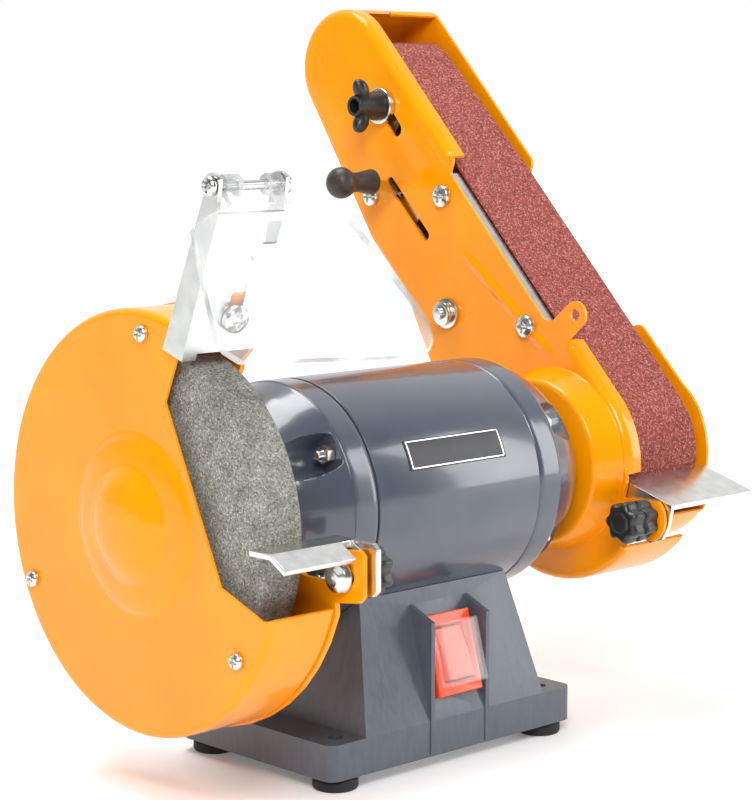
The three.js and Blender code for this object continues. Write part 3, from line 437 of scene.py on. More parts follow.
def per_mm(size):
    """Pattern scale on coordinates in metres for features about `size` millimetres across."""
    return 1000.0 / size


def drive(tree, shader, source, output, stops=None, gloss=None, relief=None):
    """Lets one pattern drive the shader: its colour by (position, hex) stops, its roughness from the first to
    the second value of `gloss`, and its relief by (height in millimetres, strength)."""
    if stops:
        ramp = node(tree, "ShaderNodeValToRGB", links={"Fac": (source, output)}, stops=stops)
        tree.links.new(ramp.outputs["Color"], shader.inputs["Base Color"])
    if gloss:
        ends = {"To Min": gloss[0], "To Max": gloss[1]}
        spread = node(tree, "ShaderNodeMapRange", inputs=ends, links={"Value": (source, output)})
        tree.links.new(spread.outputs["Result"], shader.inputs["Roughness"])
    if relief:
        rise = {"Distance": relief[0] * MM, "Strength": relief[1]}
        bump = node(tree, "ShaderNodeBump", inputs=rise, links={"Height": (source, output)})
        tree.links.new(bump.outputs["Normal"], shader.inputs["Normal"])


def powder_coated_steel():
    # Baked polyester powder on pressed steel: a deep even colour with a soft gloss and a fine orange peel.
    made, tree, shader, coords = material(
        "powder_coated_steel",
        {"Metallic": 0.0, "Coat Weight": 0.2, "Coat Roughness": 0.03, "Specular IOR Level": 0.25, "IOR": 1.5},
    )
    tone = node(
        tree,
        "ShaderNodeTexNoise",
        inputs={"Scale": per_mm(45), "Detail": 2.0},
        links={"Vector": (coords, "Object")},
    )
    haze = node(
        tree,
        "ShaderNodeTexNoise",
        inputs={"Scale": per_mm(12), "Detail": 3.0},
        links={"Vector": (coords, "Object")},
    )
    peel = node(
        tree,
        "ShaderNodeTexNoise",
        inputs={"Scale": per_mm(2.2), "Detail": 1.0},
        links={"Vector": (coords, "Object")},
    )
    drive(tree, shader, tone, "Fac", stops=[(0.3, "#F79200"), (0.7, "#FF9C00")])
    drive(tree, shader, haze, "Fac", gloss=(0.16, 0.24))
    drive(tree, shader, peel, "Fac", relief=(0.03, 0.25))
    return made


def motor_enamel():
    # Sprayed stoving enamel on turned and cast aluminium: blue-grey, glossy, with a little waviness.
    made, tree, shader, coords = material(
        "stoving_enamel", {"Metallic": 0.0, "Coat Weight": 0.5, "Coat Roughness": 0.08, "IOR": 1.5}
    )
    tone = node(
        tree,
        "ShaderNodeTexNoise",
        inputs={"Scale": per_mm(30), "Detail": 2.0},
        links={"Vector": (coords, "Object")},
    )
    haze = node(
        tree,
        "ShaderNodeTexNoise",
        inputs={"Scale": per_mm(8), "Detail": 3.0},
        links={"Vector": (coords, "Object")},
    )
    wave = node(
        tree,
        "ShaderNodeTexNoise",
        inputs={"Scale": per_mm(4.0), "Detail": 1.0},
        links={"Vector": (coords, "Object")},
    )
    drive(tree, shader, tone, "Fac", stops=[(0.3, "#454B57"), (0.7, "#4C525F")])
    drive(tree, shader, haze, "Fac", gloss=(0.16, 0.26))
    drive(tree, shader, wave, "Fac", relief=(0.05, 0.25))
    return made


def hammered_paint():
    # Thick grey paint over a rough sand casting: it flows into soft dimples and down-running waves.
    made, tree, shader, coords = material(
        "painted_cast_aluminium", {"Metallic": 0.0, "Coat Weight": 0.25, "Coat Roughness": 0.2, "IOR": 1.5}
    )
    stretch = node(
        tree,
        "ShaderNodeMapping",
        inputs={"Scale": (1.0, 1.0, 0.35)},
        links={"Vector": (coords, "Object")},
    )
    dimples = node(
        tree,
        "ShaderNodeTexNoise",
        inputs={"Scale": per_mm(3.6), "Detail": 3.0, "Roughness": 0.5},
        links={"Vector": (stretch, "Vector")},
    )
    fine = node(
        tree,
        "ShaderNodeTexNoise",
        inputs={"Scale": per_mm(1.4), "Detail": 2.0},
        links={"Vector": (coords, "Object")},
    )
    both = node(
        tree,
        "ShaderNodeMath",
        settings={"operation": "MULTIPLY_ADD"},
        inputs={1: 0.3},
        links={0: (fine, "Fac"), 2: (dimples, "Fac")},
    )
    drive(tree, shader, dimples, "Fac", stops=[(0.35, "#4B515C"), (0.62, "#515863")], gloss=(0.3, 0.5))
    drive(tree, shader, both, "Value", relief=(0.4, 0.4))
    return made


def zinc_plate():
    # Bright zinc over rolled steel: a pale metal with a soft cloudy sheen and faint rolling lines.
    made, tree, shader, coords = material("zinc_plated_steel", {"Metallic": 1.0})
    lines = node(
        tree,
        "ShaderNodeMapping",
        inputs={"Scale": (0.06, 1.0, 1.0)},
        links={"Vector": (coords, "Object")},
    )
    grain = node(
        tree,
        "ShaderNodeTexNoise",
        inputs={"Scale": per_mm(0.5), "Detail": 2.0},
        links={"Vector": (lines, "Vector")},
    )
    cloud = node(
        tree,
        "ShaderNodeTexNoise",
        inputs={"Scale": per_mm(6), "Detail": 3.0},
        links={"Vector": (coords, "Object")},
    )
    drive(tree, shader, cloud, "Fac", stops=[(0.3, "#CDCFCE"), (0.7, "#E0E1DE")], gloss=(0.16, 0.28))
    drive(tree, shader, grain, "Fac", relief=(0.01, 0.3))
    return made


def turned_steel():
    # Steel straight from the lathe: darker than zinc, with fine rings across the axis.
    made, tree, shader, coords = material("turned_steel", {"Metallic": 1.0})
    rings = node(
        tree,
        "ShaderNodeMapping",
        inputs={"Scale": (1.0, 0.05, 0.05)},
        links={"Vector": (coords, "Object")},
    )
    grain = node(
        tree,
        "ShaderNodeTexNoise",
        inputs={"Scale": per_mm(0.4), "Detail": 2.0},
        links={"Vector": (rings, "Vector")},
    )
    stops = [(0.3, "#9DA0A3"), (0.7, "#B9BBBE")]
    drive(tree, shader, grain, "Fac", stops=stops, gloss=(0.25, 0.42), relief=(0.02, 0.4))
    return made


def vitrified_abrasive():
    # Grey aluminium oxide grit in a fired clay bond: pale and dark grains with open pores. Real 36 grit is
    # 0.5 mm across, drawn here at about 0.65 mm so that it shows.
    made, tree, shader, coords = material("vitrified_abrasive", {"Metallic": 0.0, "Roughness": 0.95})
    grit = node(
        tree,
        "ShaderNodeTexVoronoi",
        inputs={"Scale": per_mm(0.65), "Randomness": 1.0},
        links={"Vector": (coords, "Object")},
    )
    speck = node(tree, "ShaderNodeSeparateColor", links={"Color": (grit, "Color")})
    grains = node(
        tree,
        "ShaderNodeValToRGB",
        links={"Fac": (speck, "Red")},
        stops=[(0.0, "#65655F"), (0.16, "#7D7E77"), (0.5, "#91928B"), (0.86, "#A5A59E"), (1.0, "#C4C4BC")],
    )
    cloud = node(
        tree,
        "ShaderNodeTexNoise",
        inputs={"Scale": per_mm(9), "Detail": 3.0},
        links={"Vector": (coords, "Object")},
    )
    shade = node(
        tree,
        "ShaderNodeValToRGB",
        links={"Fac": (cloud, "Fac")},
        stops=[(0.3, "#D8D6CE"), (0.7, "#FFFFFF")],
    )
    blend = node(
        tree,
        "ShaderNodeMix",
        settings={"data_type": "RGBA", "blend_type": "MULTIPLY"},
        inputs={"Factor": 1.0},
        links={6: (grains, "Color"), 7: (shade, "Color")},
    )
    tree.links.new(blend.outputs[2], shader.inputs["Base Color"])
    drive(tree, shader, grit, "Distance", relief=(0.22, 0.6))
    return made


def abrasive_cloth():
    # Brown-red aluminium oxide grit glued to cloth. Real 80 grit is 0.2 mm across, drawn here at about 0.7 mm
    # so that it shows.
    made, tree, shader, coords = material("abrasive_cloth", {"Metallic": 0.0, "Roughness": 0.9})
    grit = node(
        tree,
        "ShaderNodeTexVoronoi",
        inputs={"Scale": per_mm(0.7), "Randomness": 1.0},
        links={"Vector": (coords, "Object")},
    )
    speck = node(tree, "ShaderNodeSeparateColor", links={"Color": (grit, "Color")})
    stops = [(0.0, "#5E2622"), (0.35, "#883C35"), (0.75, "#984A42"), (1.0, "#BE7B70")]
    drive(tree, shader, speck, "Red", stops=stops)
    drive(tree, shader, grit, "Distance", relief=(0.2, 0.7))
    return made


def mottled(name, constants, size, detail, stops, gloss, relief=None):
    """A finish whose colour, gloss and relief all follow one cloudy noise of blobs about `size` mm across."""
    made, tree, shader, coords = material(name, constants)
    cloud = node(
        tree,
        "ShaderNodeTexNoise",
        inputs={"Scale": per_mm(size), "Detail": detail},
        links={"Vector": (coords, "Object")},
    )
    drive(tree, shader, cloud, "Fac", stops, gloss, relief)
    return made


def black_phenolic():
    # Compression moulded phenolic: near black, a soft gloss from the mould.
    constants = {"Metallic": 0.0, "IOR": 1.5, "Coat Weight": 0.1}
    stops = [(0.3, "#1D1D1E"), (0.7, "#282829")]
    return mottled("black_phenolic", constants, 4, 3.0, stops, (0.3, 0.45), (0.05, 0.3))


def grip_plastic():
    # Soft brown-black plastic grip, dip moulded, with a satin skin.
    stops = [(0.3, "#2E2925"), (0.7, "#3B352F")]
    return mottled("grip_plastic", {"Metallic": 0.0, "IOR": 1.48}, 3, 2.0, stops, (0.38, 0.52), (0.04, 0.3))


def moulded_rubber():
    # Black nitrile rubber: dull, with a faint mould bloom.
    stops = [(0.3, "#151516"), (0.7, "#222223")]
    return mottled("nitrile_rubber", {"Metallic": 0.0, "IOR": 1.5}, 3, 3.0, stops, (0.55, 0.75), (0.05, 0.4))


def red_nylon():
    # Injection moulded orange-red nylon: bright, glossy, slightly uneven where it cooled.
    constants = {"Metallic": 0.0, "IOR": 1.5, "Coat Weight": 0.3}
    stops = [(0.3, "#F24316"), (0.7, "#FF5526")]
    return mottled("red_nylon", constants, 8, 2.0, stops, (0.25, 0.35), (0.04, 0.3))


def clear_plastic(name, rough, alpha, tint_and_edge_shade):
    # Clear sheet or moulding: it lets most light through and shows itself by its edges and reflections.
    # For the shield's edge faces the colour given is a dark grey painted shade for the refraction there.
    constants = {"Metallic": 0.0, "IOR": 1.5, "Alpha": alpha}
    return mottled(name, constants, 20, 2.0, [(0.3, tint_and_edge_shade), (0.7, "#FFFFFF")], (rough, rough + 0.05))


def matt_metal(name, low, high, rough):
    # Parts that don't show in use: a plain dull metal with a mottled skin.
    return mottled(name, {"Metallic": 1.0}, 5, 3.0, [(0.3, low), (0.7, high)], (rough, rough + 0.15))


def plate_print():
    # A blank black name plate: printed film with a satin face.
    stops = [(0.3, "#17181B"), (0.7, "#212226")]
    return mottled("printed_film", {"Metallic": 0.0, "IOR": 1.5}, 10, 2.0, stops, (0.3, 0.4))


PAINT = powder_coated_steel()
ENAMEL = motor_enamel()
CASTING = hammered_paint()
ZINC = zinc_plate()
STEEL = turned_steel()
STONE = vitrified_abrasive()
CLOTH = abrasive_cloth()
PHENOLIC = black_phenolic()
GRIP = grip_plastic()
RUBBER = moulded_rubber()
NYLON = red_nylon()
SHIELD = clear_plastic("clear_polycarbonate", 0.02, 0.16, "#BAC2C2")
# The shield's edge faces get a dark grey at high alpha: a painted shade standing in for the refraction along
# the sheet's edges.
SHIELD_EDGE_PAINTED_SHADE = clear_plastic("polycarbonate_edge_painted_shade", 0.1, 0.7, "#566062")
BOOT = clear_plastic("clear_silicone", 0.05, 0.13, "#FFEDE6")
COPPER = matt_metal("enamelled_copper", "#8A4B24", "#B8733A", 0.4)
LAMINATION = matt_metal("silicon_steel", "#5E6064", "#7A7C80", 0.5)
ALUMINIUM = matt_metal("turned_aluminium", "#B0B2B4", "#C9CBCC", 0.3)
FILM = plate_print()

# ---------------------------------------------------------------- base


def make_base():
    """The casting with its edges rounded, the switch set in it and the feet turned from rounded profiles."""
    fit(bevel(refined("base_casting"), 1.1, 4), "base_casting", CASTING)
    fit(bevel(refined("switch_body"), 0.7), "switch_body", NYLON)
    fit(bevel(refined("switch_rocker"), 0.8, 4, 20), "switch_rocker", NYLON)
    fit(bevel(refined("switch_boot"), 0.4), "switch_boot", BOOT)
    for name in ("foot_front_left", "foot_front_right", "foot_back_left", "foot_back_right"):
        low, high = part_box(name)
        middle = (np.array((low + high) / 2) - MOTOR_MIDDLE) / MM
        base = np.array((middle[0], middle[1], FLOOR))
        profile = soften(
            [(0.0, 4.4), (0.0, 9.2), (1.2, 10.0), (4.2, 10.0), (5.6, 9.0), (5.6, 3.6), (1.2, 3.6),
             (0.0, 4.4)], 0.5,
        )
        profile = np.concatenate([profile, profile[:1]])
        fit(turned(name + "_piece", profile, 48, base=base, axis=AXIS_Z), name, RUBBER)


# ---------------------------------------------------------------- motor


def bell_piece(side):
    """One end bell: a rounded profile carried round the spindle. Inside the circle of a tie bolt the surface
    drops straight back to the pocket's floor, with a rounded rim."""
    line = soften(
        [
            (BELL_START, 50.4), (BELL_START, MOTOR_R), (63.4, MOTOR_R), (63.5, 52.9), (67.0, 51.6),
            (75.0, 48.6), (84.0, 43.6), (93.0, 36.0), (BELL_END, 28.5), (BELL_END, 10.0), (94.0, 10.0),
            (94.0, 16.3),
        ],
        3.0, 5,
    )
    line[:, 1] = np.minimum(line[:, 1], MOTOR_R)
    line = refine_line(line, 0.62)
    count = 560
    angle = np.linspace(0, 2 * math.pi, count, endpoint=False)[None, :]
    along = np.repeat(line[:, 0][:, None], count, 1)
    reach = np.repeat(line[:, 1][:, None], count, 1)
    y = reach * np.cos(angle)
    z = reach * np.sin(angle)
    for degrees in TIE_ANGLES:
        centre = round_spindle(TIE_R, degrees)
        away = np.hypot(y - centre[0], z - centre[1])
        inside = 1 - ease(POCKET_R - 0.9, POCKET_R + 0.5, away)
        drop = np.maximum(along - POCKET_FLOOR, 0)
        along = along - drop * inside
    points = np.stack([side * along, y, z], -1)
    name = "end_bell_right" if side > 0 else "end_bell_left"
    return fit(grid_mesh(name + "_piece", points, wrap_columns=True, sharp=50), name, ENAMEL)


def make_motor():
    """The shell, the two bells and the four hexagon-headed tie bolts with their nuts, all turned profiles."""
    shell = soften(
        [(-MOTOR_HALF, 51.5), (-MOTOR_HALF, MOTOR_R), (MOTOR_HALF, MOTOR_R), (MOTOR_HALF, 51.5)], 0.5
    )
    fit(turned("motor_shell_piece", shell, 160), "motor_shell", ENAMEL)
    for side in (-1, 1):
        bell_piece(side)
    for index, degrees in enumerate(TIE_ANGLES):
        bolt = soften(
            [(-73.0, 0), (-73.0, 1.6), (-72.6, 2.0), (-69.4, 2.0), (-69.4, 3.9), (-68.9, 4.7), (-65.9, 4.7),
             (-65.4, 3.9), (-65.4, 2.0), (65.4, 2.0), (65.4, 3.9), (65.9, 4.7), (68.4, 4.7), (69.0, 3.9),
             (69.0, 0)],
            0.1, 2,
        )
        name = f"tie_bolt_{index + 1}"
        at = round_spindle(TIE_R, degrees)
        fit(turned(name + "_piece", bolt, 48, at, flats=(6, 3.55)), name, ZINC)


def curved_plate(name, x0, x1, start, end, inner, outer):
    """A plate bent round the motor: a grid over x and angle at two radii, closed round its edge."""
    angle = np.radians(np.linspace(start, end, 24))[None, :]
    across = np.array([x0, x1])[:, None]
    skins = []
    for radius in (outer, inner):
        y = radius * np.cos(angle) + 0 * across
        z = radius * np.sin(angle) + 0 * across
        skins.append(np.stack([across + 0 * angle, y, z], -1))
    loop = np.stack([skins[0][0], skins[0][1], skins[1][1], skins[1][0]], 0)
    made = grid_mesh(name, loop, wrap_rows=True)
    work = bmesh.new()
    work.from_mesh(made.data)
    bmesh.ops.holes_fill(work, edges=[e for e in work.edges if e.is_boundary])
    bmesh.ops.recalc_face_normals(work, faces=work.faces)
    work.to_mesh(made.data)
    work.free()
    return made


def make_nameplate():
    """A blank plate with a thin pale keyline round it and no marks."""
    plate = curved_plate("nameplate_piece", -29.4, 29.4, 148, 162.5, MOTOR_R - 0.2, MOTOR_R + 0.45)
    fit(bevel(plate, 0.2), "nameplate", FILM)
    edges = (
        ("low", -28.0, 28.0, 161.4, 161.9),
        ("high", -28.0, 28.0, 148.6, 149.1),
        ("left", -28.4, -27.9, 148.6, 161.9),
        ("right", 27.9, 28.4, 148.6, 161.9),
    )
    for word, x0, x1, start, end in edges:
        line = curved_plate("keyline_" + word, x0, x1, start, end, MOTOR_R + 0.3, MOTOR_R + 0.55)
        add(line, "nameplate", ZINC)


# ---------------------------------------------------------------- wheel side


def make_wheel():
    """The wheel: a ring section with broken edges carried round the spindle."""
    x0, x1 = WHEEL_X
    bore = 6.3
    edge = 0.8
    profile = soften(
        [(x0, bore), (x0, WHEEL_R - edge), (x0 + edge, WHEEL_R), (x1 - edge, WHEEL_R), (x1, WHEEL_R - edge),
         (x1, bore), (x0, bore)], 0.6, 3,
    )
    fit(turned("grinding_wheel_piece", profile, 200), "grinding_wheel", STONE)


def guard_profile(radius):
    """How far the pressed cover stands at a distance from the spindle: a dome, a step round it and a flat."""
    knots_r = np.array([0, 5, 10, 14, 17.5, 20.5, 23, 24.6, 29, 33, 36, 38.2, 200])
    knots_x = np.array([-10.6, -10.5, -10.0, -9.2, -8.1, -6.6, -4.9, -3.7, -3.1, -2.4, -1.6, 0.0, 0.0])
    rise = np.interp(radius, knots_r, knots_x)
    spread = 0.5
    for shift in (-spread, spread):
        rise = rise + np.interp(radius + shift, knots_r, knots_x)
    return GUARD_FACE + rise / 3


def make_guard_cover():
    """The cover is one sheet on a grid of levels out from the spindle and angles round it. Inside the corner
    radius it covers the whole turn, and its levels end on the straight edge of the opening. Beyond it only
    the closed part goes on, over the bend and along the rim."""
    top = np.array(OPENING_TOP)
    low = np.array(OPENING_LOW)
    top_r, top_a = np.hypot(*top.T), np.degrees(np.arctan2(top[:, 1], top[:, 0]))
    low_r, low_a = np.hypot(*low.T), np.degrees(np.arctan2(low[:, 1], low[:, 0]))
    closed, wedge_columns = 300, 90
    face_levels, outer_levels = 70, 24
    # Closed part: from the low edge of the opening, under the wheel and up the back, to its top edge.
    share = np.linspace(0, 1, closed)
    corner = low_r[0] + (top_r[0] - low_r[0]) * share
    level = np.linspace(0, 1, face_levels + 1)[:, None]
    inner_r = level * corner[None, :]
    rim_r = GUARD_R - GUARD_BEND
    out = np.linspace(0, 1, outer_levels + 1)[1:, None]
    outer_r = corner[None, :] + out * (rim_r - corner[None, :])
    bend = np.radians(np.linspace(0, 90, 7))[1:, None]
    bend_r = rim_r + GUARD_BEND * np.sin(bend) + 0 * corner[None, :]
    bend_x = GUARD_FACE + GUARD_BEND * (1 - np.cos(bend)) + 0 * corner[None, :]
    wall_x = np.linspace(GUARD_FACE + GUARD_BEND, GUARD_RIM, 16)[1:, None] + 0 * corner[None, :]
    wall_r = 0 * wall_x + GUARD_R
    radius = np.concatenate([inner_r, outer_r, bend_r, wall_r])
    start = np.interp(radius[:, 0], low_r, low_a)[:, None]
    end = np.interp(radius[:, -1], top_r, top_a)[:, None]
    angle = np.radians(start + (end - start) * share[None, :])
    face_x = guard_profile(np.concatenate([inner_r, outer_r]))
    along = np.concatenate([face_x, bend_x, wall_x])
    closed_part = np.stack([along, radius * np.cos(angle), radius * np.sin(angle)], -1)
    # Open part: the wedge whose outer edge is the straight front edge of the cover.
    t = np.linspace(0, 1, wedge_columns)[:, None]
    edge = top[0] + (low[0] - top[0]) * t
    edge_r, edge_a = np.hypot(*edge.T), np.unwrap(np.arctan2(edge[:, 1], edge[:, 0]))
    wedge_r = level * edge_r[None, :]
    wedge = np.stack(
        [guard_profile(wedge_r), wedge_r * np.cos(edge_a)[None, :], wedge_r * np.sin(edge_a)[None, :]], -1
    )
    rows = closed_part.shape[0]
    wedge = np.concatenate([wedge, np.repeat(wedge[-1:], rows - face_levels - 1, 0)])
    points = np.concatenate([closed_part, wedge], 1)
    keep = np.ones((rows - 1, points.shape[1] - 1), bool)
    keep[face_levels:, closed - 1 :] = False
    cover = grid_mesh("guard_cover_piece", points, keep=keep, sharp=60)
    if cover.data.polygons[0].normal.x > 0:
        cover.data.flip_normals()
    thicken(cover, SHEET)
    bevel(cover, 0.35, 2, 50)
    fit(cover, "guard_cover", PAINT)


def make_guard_screws():
    """Cross-headed screws through the guard: a domed head, a shank and a nut, turned about their own axes."""
    for index, degrees in enumerate(GUARD_SCREWS):
        at = round_spindle(GUARD_SCREW_R, degrees)
        name = f"guard_screw_{index + 1}"
        profile = soften(
            [(-142.0, 0), (-141.8, 2.2), (-140.5, 3.5), (-138.9, 3.7), (-138.9, 2.0), (-101.9, 2.0),
             (-101.9, 3.9), (-98.6, 3.9), (-97.0, 2.6), (-96.4, 0)], 0.4, 3,
        )
        fit(turned(name + "_piece", profile, 96, at, step=0.3, recess=(1.4, 0.6, 2.6)), name, ZINC)


def make_shield():
    """The bracket, its bolt, the clear shield and the pin it hangs from."""
    fit(bevel(refined("shield_bracket"), 0.4), "shield_bracket", ZINC)
    shield = bevel(refined("eye_shield"), 0.5, 2, 25)
    across = Vector((0, math.cos(SHIELD_LEAN), -math.sin(SHIELD_LEAN)))
    fit(shield, "eye_shield", SHIELD)
    # The faces across the sheet's thickness take the second finish, a dark grey painted shade for the
    # refraction at the edges.
    shield.data.materials.append(SHIELD_EDGE_PAINTED_SHADE)
    for face in shield.data.polygons:
        face.material_index = 0 if abs(face.normal.dot(across)) > 0.5 else 1
    base = BRACKET_FOOT + 18.2 * BRACKET_UP + np.array((-120.0, 0, 0))
    profile = soften(
        [(5.4, 0), (5.2, 2.4), (3.8, 5.4), (2.4, 6.0), (0.3, 6.0), (0.3, 3.0), (-4.7, 3.0), (-4.7, 4.2),
         (-9.5, 4.2), (-9.5, 0)], 0.5, 3,
    )
    profile = profile * np.array((-1.0, 1.0))
    recess = (1.6, 0.8, 3.6)
    bolt = turned("bracket_bolt_piece", profile, 96, base=base, axis=-BRACKET_OUT, step=0.35, recess=recess)
    fit(bolt, "bracket_bolt", ZINC)
    profile = soften(
        [(-144.2, 0), (-143.9, 3.0), (-142.8, 4.0), (-141.3, 4.0), (-141.3, 2.0), (-104.7, 2.0),
         (-104.7, 4.0), (-102.6, 4.0), (-101.8, 3.2), (-101.8, 0)], 0.5, 3,
    )
    pin = turned("shield_hinge_pin_piece", profile, 64, HINGE, step=0.4, recess=(1.4, 0.6, 2.8))
    fit(pin, "shield_hinge_pin", ZINC)


def star_knob(name, x_back, x_front, at, hub_end, hub_radius, radius):
    """A seven-lobed knob: a rounded profile carried round X, its rim swelled by a cosine, with a hub."""
    way = 1 if x_front > x_back else -1
    profile = soften(
        [(x_front, 0), (x_front, 4.2), (x_front - way * 0.9, 5.2), (x_front - way * 0.3, radius * 0.78),
         (x_front - way * 2.0, radius * 0.98), (x_back + way * 2.0, radius), (x_back, radius * 0.8),
         (x_back - way * 0.5, hub_radius + 0.6), (hub_end + way * 0.8, hub_radius),
         (hub_end, hub_radius - 0.8), (hub_end, 0)], 1.6, 5,
    )
    return turned(name + "_piece", profile, 140, at, step=0.8, lobes=(7, 0.11), sharp=60)


def make_left_rest():
    """The wheel's tool rest, its domed bolt and the knob that clamps it."""
    fit(bevel(refined("tool_rest_left"), 0.6), "tool_rest_left", ZINC)
    bolt = soften(
        [(-110.6, 0), (-110.3, 3.4), (-108.4, 6.2), (-105.4, 7.2), (-105.0, 3.0), (-84.0, 3.0), (-84.0, 0)],
        0.6, 4,
    )
    fit(turned("rest_bolt_left_piece", bolt, 72, LEFT_KNOB, step=0.5), "rest_bolt_left", ZINC)
    knob = star_knob("rest_knob_left", -93.0, -83.4, LEFT_KNOB, -98.1, 6.6, 9.7)
    fit(knob, "rest_knob_left", PHENOLIC)


# ---------------------------------------------------------------- sander side


def belt_loop(offset, fine):
    """The belt's path in (u, n): round the drum, straight over the platen, slanting to the idler and back."""
    drum = DRUM_REACH + offset
    idler = IDLER_REACH + offset
    iu, inn = IDLER_AT
    span = math.hypot(iu, inn)
    lead = math.degrees(math.atan2(inn, iu))
    spread = math.degrees(math.acos((drum - idler) / span))
    du = iu - PLATEN_TOP
    dn = inn - drum
    slant = math.atan2(dn, du) + math.asin(idler / math.hypot(du, dn))
    leave = math.degrees(slant) + 90
    return np.concatenate(
        [
            arc(0, 0, drum, 90, lead + 360 - spread, fine),
            arc(iu, inn, idler, lead - spread, leave, fine // 2),
            [[PLATEN_TOP, drum]],
        ]
    )


def make_belt():
    """A thin rounded strip section carried round the belt's path."""
    x0, x1 = BELT_X
    middle = belt_loop(BELT_T / 2, 96)
    inner = belt_loop(0, 96)
    outer = belt_loop(BELT_T, 96)
    section = [
        (x0, inner), (x0, middle), (x0 + 0.3, outer), (x1 - 0.3, outer), (x1, middle), (x1, inner),
    ]
    points = np.stack([on_arm(x, path) for x, path in section], 1)
    fit(grid_mesh("sanding_belt_piece", points, True, True, sharp=50), "sanding_belt", CLOTH)


def bead(name, start, end, width, height):
    """A pressed bead on the side plate: a squared-cosine ridge along a line in (u, n), faded at both ends."""
    a, b = np.asarray(start, float), np.asarray(end, float)
    length = np.linalg.norm(b - a)
    way = (b - a) / length
    side = np.array((-way[1], way[0]))
    along = np.linspace(0, 1, 80)[:, None]
    across = np.linspace(-1, 1, 25)[None, :]
    fade = ease(0, 0.18, along) * ease(1, 0.82, along)
    path = a + along[..., None] * (b - a) + across[..., None] * side * width
    rise = height * fade * np.cos(across * math.pi / 2) ** 2
    sink = 0.05
    ridge = grid_mesh(name, on_arm(ARM_X + sink - rise, path), sharp=60)
    if ridge.data.polygons[0].normal.x > 0:
        ridge.data.flip_normals()
    return ridge


def back_edge(radius, leave):
    """The arm's edge from the underside round the drum, up its back and over the rounded top."""
    return [
        *arc(0, 0, radius, 165, leave, 40), (128, -26), (163, -27), (248, -12.2),
        *arc(TOP_ARC[0], TOP_ARC[1], TOP_ARC[2], -72, 90, 40),
    ]


def plate_outline():
    """The side plate's outline in (u, n): the back edge, the front lip, the lug and the ear of the rest."""
    ear_u, ear_n = ear_centre()
    return np.array(
        [
            *back_edge(60, 285.6),
            *soften([(244, 47.5), (152, 47.5), (148.5, 40.5), (54, 40.5), (50, 44)], 2.0, 4)[1:],
            *arc(LUG[0], LUG[1], 6.6, 8, 172, 16), (36.6, 47),
            *arc(0, 0, 47.2, 85, 150, 26),
            *arc(ear_u, ear_n, 11.5, 84, 200, 22),
        ]
    )


def ear_centre():
    """The (u, n) of the belt rest's knob."""
    y, z = BELT_KNOB
    return y * ARM_U[1] + z * ARM_U[2], y * ARM_N[1] + z * ARM_N[2]


def plate_wall(u, n):
    """The wall's length along the side plate's outline: deep round the back, a 10 mm lip in front, none at
    the platen and the ear."""
    wall = np.where(u < 60, PAN_DEPTH, PLATE_DEPTH)
    wall = np.where((u > 100) & (n > 40), LIP, wall)
    wall = np.where((u < 60) & (n > 10), LIP, wall)
    wall = np.where((u > 36) & (u < 154.5) & (n > 36), 0.0, wall)
    return np.where((u < -34) & (n > 8), 0.0, wall)


def cover_outline():
    """The outer cover's outline in (u, n), with the long dip in its front edge beside the platen."""
    edge = np.array(back_edge(48, 280))
    edge = edge[edge[:, 1] < 39.6]
    return np.array(
        [
            *edge,
            *soften([(263.6, 39.5), (156, 39.5), (150, 28), (52, 28), (46.5, 39.5), (7, 40.4)], 3.0, 5),
            *arc(0, 0, 41, 80, 154, 30)[1:],
        ]
    )


def cover_wall(u, n):
    """The cover's wall reaches the side plate's all round the back and stops at the open front."""
    front = (u > -36) & (u < 262) & (n > 15)
    ear = (u < -34) & (n > 8)
    return np.where(front | ear, 0.0, COVER_DEPTH)


def circle(u, n, radius, count=40):
    """A closed circle of points in (u, n)."""
    return arc(u, n, radius, 0, 360, count)[:-1]


def slot(u0, n0, u1, n1, radius):
    """A slot with round ends from one centre to the other."""
    heading = math.degrees(math.atan2(n1 - n0, u1 - u0))
    end = arc(u1, n1, radius, heading - 90, heading + 90, 12)
    start = arc(u0, n0, radius, heading + 90, heading + 270, 12)
    return np.concatenate([end, start])


